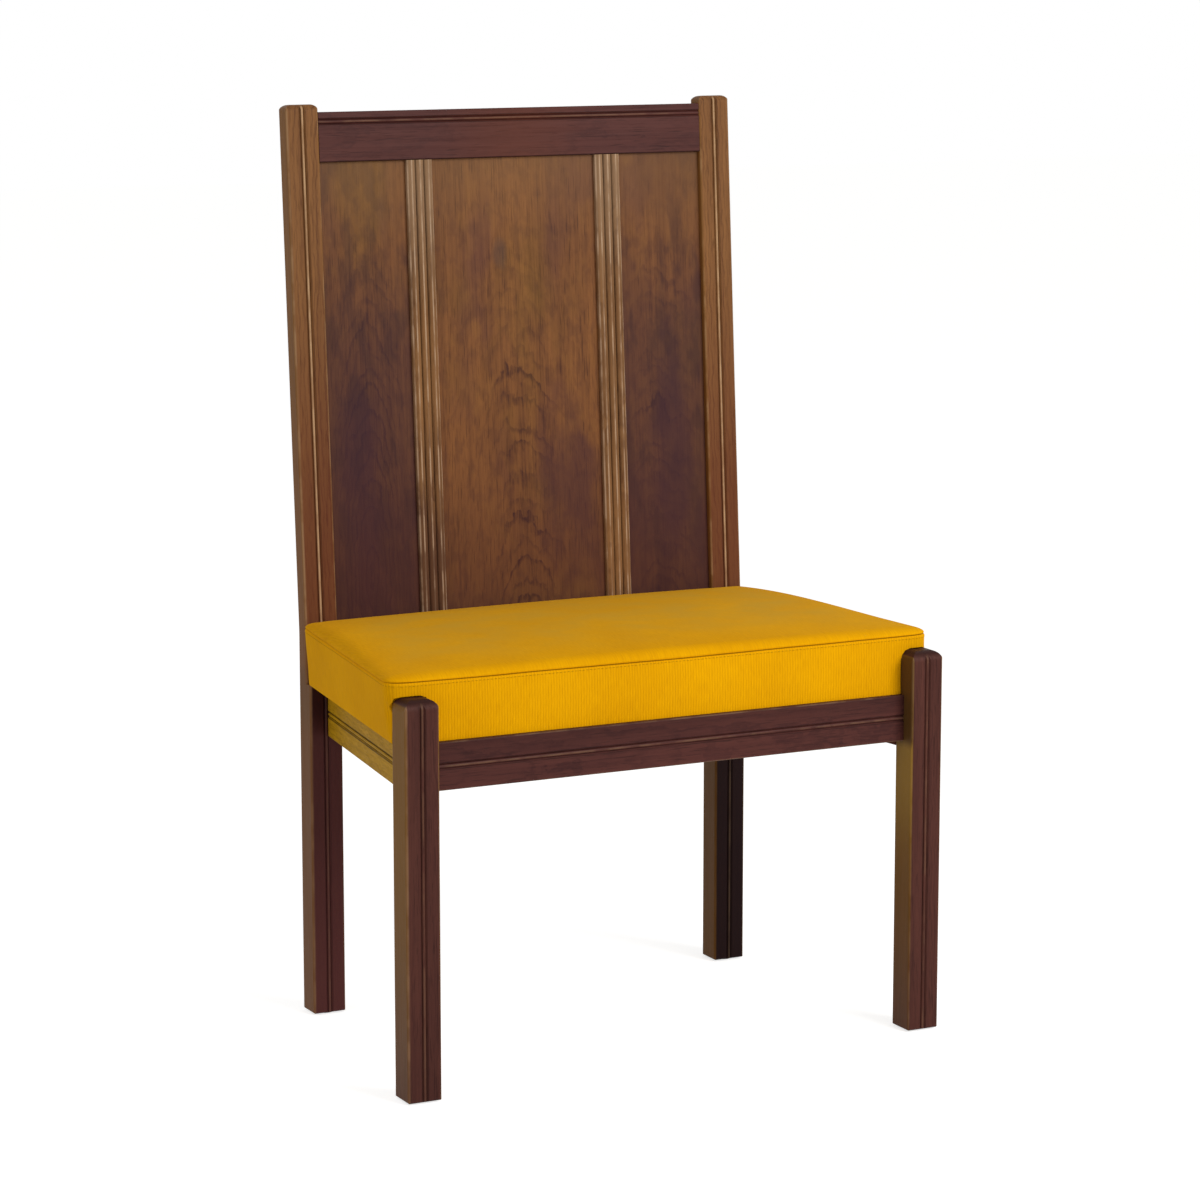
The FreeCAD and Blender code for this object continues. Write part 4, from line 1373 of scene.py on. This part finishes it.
class CHAIR_OT_set_stage(bpy.types.Operator):
    """Makes the floor, the light from all round, the two lamps and the camera"""

    bl_idname = "chair.set_stage"
    bl_label = "Set Stage"

    def execute(self, context):
        stage = context.scene.chair_stage
        self.light_world(context.scene, stage)
        self.lay_floor(stage)
        self.hang_lamp(stage, "Key", stage.key, stage.key_turn, stage.key_lift)
        self.hang_lamp(stage, "Fill", stage.fill, -stage.fill_turn, stage.fill_lift)
        lens = bpy.data.cameras.new("Camera")
        lens.lens, lens.sensor_width = stage.lens, 36.0
        camera = bpy.data.objects.new("Camera", lens)
        camera.location = stage.place
        camera.rotation_euler = (math.pi / 2 + stage.pitch, 0.0, stage.yaw)
        context.scene.collection.objects.link(camera)
        context.scene.camera = camera
        context.scene.view_settings.view_transform = "Standard"
        return {"FINISHED"}

    def hang_lamp(self, stage, name, power, turn, lift):
        """A square lamp that looks at the middle of the chair."""
        level = math.cos(lift)
        toward = Vector((math.sin(turn) * level, -math.cos(turn) * level, math.sin(lift)))
        light = bpy.data.lights.new(name, "AREA")
        light.energy, light.size = power, stage.lamp_size
        lamp = bpy.data.objects.new(name, light)
        lamp.location = LAMP_AIM + toward * stage.lamp_reach
        lamp.rotation_euler = (-toward).to_track_quat("-Z", "Y").to_euler()
        bpy.context.scene.collection.objects.link(lamp)

    def seen_directly(self, tree):
        """Mask of the rays that see the background: camera, glossy and transmission rays."""
        path = put(tree, "ShaderNodeLightPath").outputs
        seen = calc(tree, "MAXIMUM", path["Is Camera Ray"], path["Is Glossy Ray"])
        return calc(tree, "MAXIMUM", seen, path["Is Transmission Ray"])

    def light_world(self, scene, stage):
        """White where it is seen, softer where it lights the chair."""
        world = bpy.data.worlds.new("Studio")
        scene.world = world
        world.use_nodes = True
        tree = world.node_tree
        background = tree.nodes["Background"]
        background.inputs["Color"].default_value = (1.0, 1.0, 1.0, 1.0)
        seen = self.seen_directly(tree)
        strength = calc(tree, "MULTIPLY_ADD", seen, 1.0 - stage.ambient, stage.ambient)
        tree.links.new(strength, background.inputs["Strength"])

    def lay_floor(self, stage):
        """A wide pale floor that keeps the chair's shadow."""
        reach = 14.0
        corners = [(-reach, -reach, 0.0), (reach, -reach, 0.0), (reach, reach, 0.0), (-reach, reach, 0.0)]
        floor = mesh_object("floor", corners, [(0, 1, 2, 3)])
        material, tree, shader = new_material("Pale Floor")
        shader.inputs["Base Color"].default_value = opaque(stage.floor)
        shader.inputs["Roughness"].default_value = 1.0
        shader.inputs["Specular IOR Level"].default_value = 0.0
        shader.inputs["Emission Color"].default_value = (1.0, 1.0, 1.0, 1.0)
        glow = calc(tree, "MULTIPLY", self.seen_directly(tree), stage.floor_glow)
        tree.links.new(glow, shader.inputs["Emission Strength"])
        floor.data.materials.append(material)


class CHAIR_OT_finish_legs(bpy.types.Operator):
    """Stains the front legs and the rear posts"""

    bl_idname = "chair.finish_legs"
    bl_label = "Finish Legs and Posts"

    def execute(self, context):
        wood = context.scene.chair_wood
        dress(twins("front_leg"), self.leg(wood))
        dress(twins("rear_post"), self.post(wood))
        return {"FINISHED"}

    def leg(self, wood):
        """Dark legs with painted light on their sides that grows upwards, painted shade on their tops and by
        the front rail, and wear with painted highlights along the bead and the arrises.
        """
        leg = Wood(
            "Leg Oak",
            wood.leg_light,
            wood.leg_dark,
            shift=(0.02, 0.0, 0.0),
            Ring_Gap=0.005,
            Pith_Depth=0.34,
            Pith_Lean=0.03,
        )
        off_centre = apart(leg.tree, leg.both_sides(), LEG_X)
        # Painted light: the side faces are paler and olive, more so towards the top
        side = leg.both(ramp(leg.tree, off_centre, *SIDE_FACE), leg.step("Z", -0.25, 0.42))
        leg.stain(side, linear(0x7E5612), 0.8)
        # Painted reflection of the yellow cushion low on the right leg's inner face, and painted shade beside
        # the front rail above it
        inner = leg.both(side, leg.step("X", LEG_X - 0.010, LEG_X - 0.016))
        inner = leg.both(inner, leg.step("X", 0.0, 0.1))
        leg.stain(leg.both(inner, leg.step("Z", 0.15, 0.32)), linear(0xA8843A), 0.55)
        leg.stain(leg.both(inner, leg.step("Z", 0.325, 0.345)), linear(0x3A2016), 0.8)
        # Painted shadow on the leg tops under the cushion's lip
        leg.tone(leg.plain["Z"], LEG_HIGH.z - 0.008, LEG_HIGH.z - 0.0015, linear(0x24120F), 0.7)
        leg.keep_near(leg.plain["Y"], LEG_LOW.y + 0.005, LEG_LOW.y + 0.001)
        # Quirks darkened by gathered stain and painted shade; wear and painted highlights on the bead and the
        # arrises, strongest on the left arris
        leg.lines(off_centre, LEG_QUIRKS, QUIRK_WIDTH, wood.settled_and_shaded, 0.3, 0.5)
        leg.lines(off_centre, (0.0,), 0.0020, wood.worn_and_highlight, 0.14, 0.9)
        leg.lines(off_centre, (ARRIS_OFF,), 0.0016, wood.worn_and_highlight, 0.18, 0.9)
        leg.lines(leg.plain["X"], (-LEG_X - ARRIS_OFF,), 0.0024, WORN_AND_LIT_ARRIS, 0.7, 0.5)
        return leg.finish(gloss=0.06)

    def post(self, wood):
        """Posts that are paler above and redder towards the seat, with painted shadow below the seat on the
        right and just under the cushion, painted light on their side faces, and a bright bead of wear and
        painted highlight.
        """
        post = Wood(
            "Post Oak",
            wood.post_light,
            wood.post_dark,
            turn=(RAKE, 0.0, 0.0),
            pivot=(0.0, BEND_Y, BEND_Z),
            Ring_Gap=0.0045,
            Pith_Depth=0.22,
            Pith_Lean=0.02,
        )
        tree = post.tree
        off_centre = apart(tree, post.both_sides(), POST_X)
        post.tone(post.plain["Z"], 0.90, 0.50, linear(0x602D1D), 0.6)
        below = post.step("Z", 0.42, 0.37)
        post.stain(post.both(below, post.step("X", 0.1, -0.1)), linear(0x502A2C), 0.85)
        # Painted shadow: the right post is near black below the seat
        post.stain(post.both(below, post.step("X", -0.1, 0.1)), linear(0x12070C), 0.95)
        # Painted shadow just under the cushion
        shaded = post.both(post.step("Z", 0.30, 0.38), post.step("Z", 0.42, 0.40))
        post.stain(shaded, linear(0x180B10), 0.6)
        # Painted light on the side faces, as pale as the fronts
        post.tone(off_centre, *SIDE_FACE, linear(0x7C5220), 0.6)
        slope = calc(tree, "MAXIMUM", calc(tree, "SUBTRACT", post.plain["Z"], BEND_Z), 0.0)
        above_seat = calc(tree, "GREATER_THAN", post.plain["Z"], SEAT_LOW.z)
        stepped = calc(tree, "MULTIPLY_ADD", above_seat, POST_STEP, POST_FRONT)
        front = calc(tree, "MULTIPLY_ADD", slope, math.tan(RAKE), stepped)
        post.keep_near(calc(tree, "SUBTRACT", post.plain["Y"], front), 0.005, 0.001)
        # Quirks darkened by gathered stain and painted shade; wear and painted highlight on the left arris
        post.lines(off_centre, QUIRKS, QUIRK_WIDTH, wood.settled_and_shaded, 0.4, 0.4)
        post.lines(post.plain["X"], (-POST_X - ARRIS_OFF,), 0.0024, WORN_AND_LIT_ARRIS, 0.5, 0.5)
        # The painted highlights of the bead and the arrises fade out under the seat
        post.near = post.both(post.near, ramp(tree, post.plain["Z"], 0.38, 0.45, 0.12, 1.0))
        # Wear and painted highlight on the bead and the arrises
        post.lines(off_centre, (0.0,), 0.0019, linear(0xC8A47C), 0.85, 0.5)
        post.lines(off_centre, (ARRIS_OFF,), 0.0018, wood.worn_and_highlight, 0.45, 0.8)
        return post.finish(gloss=0.06)


class CHAIR_OT_finish_seat_rails(bpy.types.Operator):
    """Stains the four rails under the seat"""

    bl_idname = "chair.finish_seat_rails"
    bl_label = "Finish Seat Rails"

    def execute(self, context):
        wood = context.scene.chair_wood
        dress(["front_seat_rail", "rear_seat_rail"], self.cross_rail(wood))
        for side, stem in ((-1, "left"), (1, "right")):
            dress([f"side_seat_rail_{stem}"], self.side_rail(wood, side, stem))
        return {"FINISHED"}

    def cross_rail(self, wood):
        """Dark rail with its grain across the chair."""
        rail = Wood(
            "Cross Rail Oak",
            wood.rail_light,
            wood.rail_dark,
            turn=(0.0, -math.pi / 2, 0.0),
            shift=(0.35, 0.22, 0.0),
            Ring_Gap=0.0055,
            Pith_Depth=0.05,
            Pith_Lean=0.03,
            Ring_Strength=0.45,
            Fibre_Strength=0.6,
        )
        bead = FRONT_RAIL_LOW.z + RAIL_BEAD_RISE
        # Painted shade on the upper half of the rail, under the cushion
        rail.tone(rail.plain["Z"], bead, FRONT_RAIL_HIGH.z, linear(0x2E1614), 0.35)
        height = apart(rail.tree, rail.plain["Z"], bead)
        rail.keep_near(rail.plain["Y"], FRONT_RAIL_LOW.y + 0.004, FRONT_RAIL_LOW.y + 0.001)
        # Quirks darkened by gathered stain and painted shade; wear and painted highlight on the bead and
        # along the upper and lower edges
        rail.lines(height, QUIRKS, QUIRK_WIDTH, wood.settled_and_shaded, 0.55, 0.4)
        rail.lines(height, (0.0,), 0.0016, wood.worn_and_highlight, 0.22, 0.9)
        rail.lines(height, (0.026,), 0.0014, wood.worn_and_highlight, 0.25, 0.9)
        return rail.finish()

    def side_rail(self, wood, side, stem):
        """Side rail with its grain along the splay; the left one is paler and yellower with a painted
        reflection of the cushion and painted light from the left.
        """
        rail = Wood(
            f"Side Rail Oak {stem}",
            wood.left_rail_lit_early if side < 0 else wood.post_light,
            wood.left_rail_lit_late if side < 0 else wood.post_dark,
            turn=(math.pi / 2, 0.0, side * SPLAY),
            shift=(0.02, -0.26, 0.1),
            Ring_Gap=0.0055,
            Pith_Depth=0.05,
            Pith_Lean=0.02,
        )
        tree = rail.tree
        bead = SIDE_RAIL_LOW.z + RAIL_BEAD_RISE
        height = apart(tree, rail.plain["Z"], bead)
        outer = calc(tree, "MULTIPLY_ADD", rail.plain["Y"], SPLAY_SLOPE, rail.both_sides())
        face = SIDE_RAIL_HIGH.x + SIDE_RAIL_LOW.y * SPLAY_SLOPE
        # The painted reflection and light stay on the outer face; the other faces take the plain rail colour
        rail.tone(outer, face - 0.003, face - 0.008, wood.rail_light, 0.8)
        rail.keep_near(outer, face - 0.004, face - 0.0012)
        # Quirks darkened by gathered stain and painted shade; wear and painted highlight along the lower edge
        rail.lines(height, QUIRKS, 0.0011, wood.settled_and_shaded, 0.9, 0.2)
        rail.lines(rail.plain["Z"], (SIDE_RAIL_LOW.z + 0.0006,), 0.0016, wood.worn_and_highlight, 0.3)
        return rail.finish(gloss=0.02)


class CHAIR_OT_finish_back(bpy.types.Operator):
    """Stains the back rails, the veneered panel and the reeded mouldings"""

    bl_idname = "chair.finish_back"
    bl_label = "Finish Back"

    def execute(self, context):
        wood = context.scene.chair_wood
        dress(["top_back_rail", "lower_back_rail"], self.rail(wood))
        dress(["back_panel"], self.panel(wood))
        dress(twins("panel_moulding"), self.moulding(wood))
        return {"FINISHED"}

    def leaning(self):
        """Turn that sets the grain along the leaning back."""
        return {"turn": (RAKE, 0.0, 0.0), "pivot": (0.0, BEND_Y, BEND_Z)}

    def rail(self, wood):
        """Dark back rails, a little redder in the middle."""
        rail = Wood(
            "Back Rail Oak",
            wood.rail_light,
            wood.rail_dark,
            turn=(0.0, -math.pi / 2, 0.0),
            shift=(1.02, -0.2, 0.0),
            Ring_Gap=0.006,
            Pith_Depth=0.06,
            Pith_Lean=0.04,
            Ring_Strength=0.35,
            Fibre_Strength=0.5,
        )
        rail.tone(rail.both_sides(), 0.12, 0.0, linear(0x5E2E1C), 0.45)
        lean = calc(rail.tree, "MULTIPLY", rail.plain["Y"], math.sin(RAKE))
        along = calc(rail.tree, "MULTIPLY_ADD", rail.plain["Z"], math.cos(RAKE), lean)
        bend = BEND_Z * math.cos(RAKE) + BEND_Y * math.sin(RAKE)
        height = apart(rail.tree, along, bend + TOP_BEAD_RISE)
        # Quirks darkened by gathered stain and painted shade; wear and painted highlight on the bead
        rail.lines(height, QUIRKS, QUIRK_WIDTH, wood.settled_and_shaded, 0.6, 0.3)
        rail.lines(height, (0.0,), 0.0015, wood.worn_and_highlight, 0.2, 0.9)
        # Painted shadow line along the top rail's lower edge, above the recessed panel
        rail.lines(along, (bend + TOP_EDGE_RISE,), 0.0014, wood.settled_and_shaded, 0.8, 0.2)
        return rail.finish()

    def panel(self, wood):
        """Three leaves of veneer with arched grain, darker at the sides with stain and painted shade, with
        painted shade towards the seat and a painted reflection as a pale haze at the top.
        """
        panel = Wood(
            "Panel Veneer",
            wood.panel_light,
            wood.panel_dark,
            leaf=(2 * MOULDING_X, (-2 * MOULDING_X + 0.05, 0.013, 0.31)),
            Ring_Gap=0.0046,
            Pith_Depth=0.05,
            Pith_Lean=0.17,
            Flank=0.05,
            Fibre_Strength=0.75,
            Blotch_Strength=0.9,
            **self.leaning(),
        )
        tree = panel.tree
        panel.fade_rings(ramp(tree, panel.plain["Z"], 0.95, 0.68, 0.15, 0.85))
        aside = ramp(tree, panel.both_sides(), 0.10, 0.14)
        panel.cloud((13.0, 13.0, 5.0), 0.48, 0.68, linear(0x47262E), 0.40)
        panel.cloud((9.0, 9.0, 4.0), 0.50, 0.68, linear(0x76541F), 0.40, 3.7)
        panel.cloud((75.0, 75.0, 42.0), 0.46, 0.66, linear(0x3A1E1C), 0.26, 1.3)
        panel.cloud((60.0, 60.0, 30.0), 0.52, 0.70, linear(0x8C5E2E), 0.22, 5.1)
        # Side leaves darker towards the bottom: stain and painted shade
        panel.stain(panel.both(aside, panel.step("Z", 0.99, 0.70)), linear(0x3E2226), 0.62)
        streaked = speckle(tree, panel.vector, (48.0, 48.0, 18.0), 4.0).outputs["Fac"]
        panel.stain(panel.both(aside, ramp(tree, streaked, 0.42, 0.66)), linear(0x28161E), 0.35)
        panel.patch(0.060, 0.59, 0.045, 0.11, linear(0x40222A), 0.6)
        panel.patch(0.200, 0.64, 0.030, 0.16, linear(0x3A1F28), 0.6)
        panel.patch(-0.205, 0.62, 0.045, 0.15, linear(0x3A1F28), 0.5)
        panel.patch(-0.020, 0.875, 0.012, 0.020, linear(0x4A3A34), 0.4)
        # Painted shade towards the seat
        panel.tone(panel.plain["Z"], 0.72, 0.46, linear(0x462420), 0.45)
        # Painted reflection: a pale haze at the top of the panel
        panel.tone(panel.plain["Z"], 0.86, 1.02, linear(0x84603C), 0.40)
        panel.patch(0.200, 0.96, 0.050, 0.10, linear(0x5C3A26), 0.4)
        return panel.finish(relief=0.2)

    def moulding(self, wood):
        """Tan reeded mouldings with a painted sheen towards the top, wear and painted highlights on the
        crowns of the reeds, and gathered stain and painted shade between them.
        """
        moulding = Wood(
            "Moulding Oak",
            wood.moulding_light,
            wood.moulding_dark,
            shift=(0.0, 0.12, 0.0),
            Ring_Gap=0.004,
            Pith_Depth=0.18,
            Pith_Lean=0.015,
            **self.leaning(),
        )
        off_centre = apart(moulding.tree, moulding.both_sides(), MOULDING_X)
        # Painted sheen: paler towards the top
        moulding.tone(moulding.plain["Z"], 0.80, 0.97, linear(0x9C7E60), 0.55)
        moulding.patch(-MOULDING_X, 0.49, 0.10, 0.13, linear(0x4A2E24), 0.7)
        moulding.patch(-MOULDING_X, 0.74, 0.10, 0.10, linear(0xA87848), 0.25)
        moulding.patch(MOULDING_X, 0.53, 0.10, 0.10, linear(0xA87848), 0.18)
        # Gathered stain and painted shade between the reeds; wear and painted highlights on their crowns
        moulding.lines(off_centre, (0.00533,), 0.0013, wood.settled_and_shaded, 0.7, 0.3)
        moulding.lines(off_centre, (0.0, 0.01067, 0.0152), 0.0013, linear(0xCDAE90), 0.65, 0.85)
        return moulding.finish()


class CHAIR_OT_finish_underside(bpy.types.Operator):
    """Finishes the seat board, the corner blocks, the dowels and the glides"""

    bl_idname = "chair.finish_underside"
    bl_label = "Finish Underside"

    def execute(self, context):
        wood = context.scene.chair_wood
        dress(["seat_board"], self.board(wood))
        blocks = [*twins("corner_block_front"), *twins("corner_block_rear")]
        dress(blocks, self.block(wood))
        dowels = [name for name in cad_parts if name.endswith("_dowels")]
        dress(dowels, self.block(wood, "Dowel Beech"))
        dress(["leg_glides"], nylon_material())
        return {"FINISHED"}

    def board(self, wood):
        """Plywood: face grain across the chair and thin dark glue lines on its edges."""
        board = Wood(
            "Board Plywood",
            wood.plain_light,
            wood.plain_dark,
            turn=(0.0, -math.pi / 2, 0.0),
            shift=(0.4, 0.0, 0.0),
            Ring_Gap=0.02,
            Pith_Depth=0.2,
            Pith_Lean=0.05,
        )
        plies = 7
        ply = (BOARD_HIGH.z - BOARD_LOW.z) / plies
        glue = [BOARD_LOW.z + ply * step for step in range(1, plies)]
        board.lines(board.plain["Z"], glue, 0.0005, linear(0x5A3A20), 0.7, 0.2)
        return board.finish()

    def block(self, wood, name="Block Beech"):
        """Unstained block with plain grain."""
        block = Wood(
            name,
            wood.plain_light,
            wood.plain_dark,
            turn=(0.0, -math.pi / 2, 0.6),
            Ring_Gap=0.006,
            Pith_Depth=0.12,
            Pith_Lean=0.05,
        )
        return block.finish()


class CHAIR_OT_make_cushion(bpy.types.Operator):
    """Cuts, fills and sews the seat cushion and turns its cloth under the board"""

    bl_idname = "chair.make_cushion"
    bl_label = "Make Cushion"

    def execute(self, context):
        seat = context.scene.chair_seat
        cover = slack_cover(seat)
        cover = fill_cover(cover, seat)
        sewn = sew_seam(cover, seat)
        cushion = smooth_once(crisp_notches(cover_mesh(sewn, "seat_cushion"), sewn))
        close_underside(cushion.data, CLOTH_THICKNESS, BOARD_HIGH.z + FIT_GAP)
        add_hem(cushion.data, seat)
        cushion.data.shade_smooth()
        cushion.data.set_sharp_from_angle(angle=math.radians(60))
        cushion.data.materials.append(cloth_material(seat))
        hand_over(cushion, "seat_fabric", "seat_cover", "seat_foam")
        return {"FINISHED"}


class CHAIR_OT_sew_stitches(bpy.types.Operator):
    """Sews the row of stitches below the seam of the cushion"""

    bl_idname = "chair.sew_stitches"
    bl_label = "Sew Stitches"

    def execute(self, context):
        seat = context.scene.chair_seat
        cushion = bpy.data.objects["seat_cushion"]
        places, facings = [], []
        outline = seat_outline(0.0, seat.corner)
        for point in lean_out(at_height(outline, SEAM_Z - STITCH_DROP), outline, seat):
            found, place, facing, _ = cushion.closest_point_on_mesh(Vector(point))
            if not found:
                raise RuntimeError("the stitches found no cushion to sit on")
            places.append(place + facing * 0.0001)
            facings.append(facing)
        row = facing_points("seam_stitches", places, facings, closed=True)
        tree = make_row_tree("Stitch Row", ("Length", "Thickness"), stitch_piece)
        grow(
            row,
            tree,
            Spacing=seat.stitch_gap,
            Length=seat.stitch,
            Thickness=seat.thread_thickness,
            Sway=0.08,
            Material=thread_material(seat),
        )
        hand_over(row, "seat_fabric")
        return {"FINISHED"}


class CHAIR_OT_staple_hem(bpy.types.Operator):
    """Staples the hem under the seat board"""

    bl_idname = "chair.staple_hem"
    bl_label = "Staple Hem"

    def execute(self, context):
        seat = context.scene.chair_seat
        path = along_loop(hem_path(0.6 * seat.hem), STAPLE_CELL)
        places = [(x, y, BOARD_LOW.z - STAPLE_DROP) for x, y in path]
        row = facing_points("hem_staples", places, [(0.0, 0.0, -1.0)] * len(places), closed=True)
        tree = make_row_tree("Staple Row", ("Length", "Wire"), staple_piece)
        grow(
            row,
            tree,
            Spacing=seat.staple_gap,
            Length=seat.staple,
            Wire=seat.wire,
            Sway=0.35,
            Material=steel_material(),
        )
        hand_over(row, "screw_steel")
        return {"FINISHED"}


class CHAIR_OT_drive_screws(bpy.types.Operator):
    """Drives the screws of the corner blocks and of the seat"""

    bl_idname = "chair.drive_screws"
    bl_label = "Drive Screws"

    def execute(self, context):
        # The left half of each set: the place of a head, and which way the screw points
        into_side_rail = Vector((-math.cos(SPLAY), math.sin(SPLAY), 0.0))
        up = (0.0, 0.0, 1.0)
        block_places = [
            ((-0.2490, -0.1727, 0.372), (0.0, -1.0, 0.0)),
            ((-0.2729, -0.1451, 0.372), into_side_rail),
            ((-0.2010, 0.1363, 0.372), (0.0, 1.0, 0.0)),
            ((-0.2373, 0.1047, 0.372), into_side_rail),
        ]
        seat_places = [((-0.2679, -0.1649, 0.355), up), ((-0.2261, 0.1285, 0.355), up)]
        tree = make_screw_tree()
        steel = steel_material()
        for node, places, length in (
            ("corner_block_screws", block_places, 0.024),
            ("seat_screws", seat_places, 0.045),
        ):
            screw = slotted_screw(
                f"{node}_shape", head=0.0040, head_height=0.0026, shank=0.0020, length=length
            )
            heads, facings = [], []
            for (x, y, z), (dx, dy, dz) in places:
                for side in (1, -1):
                    heads.append((side * x, y, z))
                    facings.append((-side * dx, -dy, -dz))
            piece = facing_points(f"{node}_driven", heads, facings)
            grow(piece, tree, Screw=screw, Size=1.0, Material=steel)
            bpy.data.objects.remove(screw)
            hand_over(piece, "screw_steel", node)
        return {"FINISHED"}


OPERATORS = (
    CHAIR_OT_set_stage,
    CHAIR_OT_finish_legs,
    CHAIR_OT_finish_seat_rails,
    CHAIR_OT_finish_back,
    CHAIR_OT_finish_underside,
    CHAIR_OT_make_cushion,
    CHAIR_OT_sew_stitches,
    CHAIR_OT_staple_hem,
    CHAIR_OT_drive_screws,
)
SETTINGS = {"chair_wood": ChairWood, "chair_seat": ChairSeat, "chair_stage": ChairStage}


class CHAIR_PT_build(bpy.types.Panel):
    """Steps and settings of the chair"""

    bl_idname = "CHAIR_PT_build"
    bl_label = "Communion Chair"
    bl_space_type = "VIEW_3D"
    bl_region_type = "UI"
    bl_category = "Chair"

    def draw(self, context):
        for step in OPERATORS:
            self.layout.operator(step.bl_idname)
        for name, group in SETTINGS.items():
            box = self.layout.box()
            for label in group.__annotations__:
                box.prop(getattr(context.scene, name), label)


def register():
    for group in (*SETTINGS.values(), *OPERATORS, CHAIR_PT_build):
        bpy.utils.register_class(group)
    for name, group in SETTINGS.items():
        setattr(bpy.types.Scene, name, PointerProperty(type=group))


def unregister():
    for name in SETTINGS:
        delattr(bpy.types.Scene, name)
    for group in reversed((*SETTINGS.values(), *OPERATORS, CHAIR_PT_build)):
        bpy.utils.unregister_class(group)


def main():
    register()
    for step in OPERATORS:
        family, name = step.bl_idname.split(".")
        getattr(getattr(bpy.ops, family), name)()


if __name__ == "__main__":
    main()
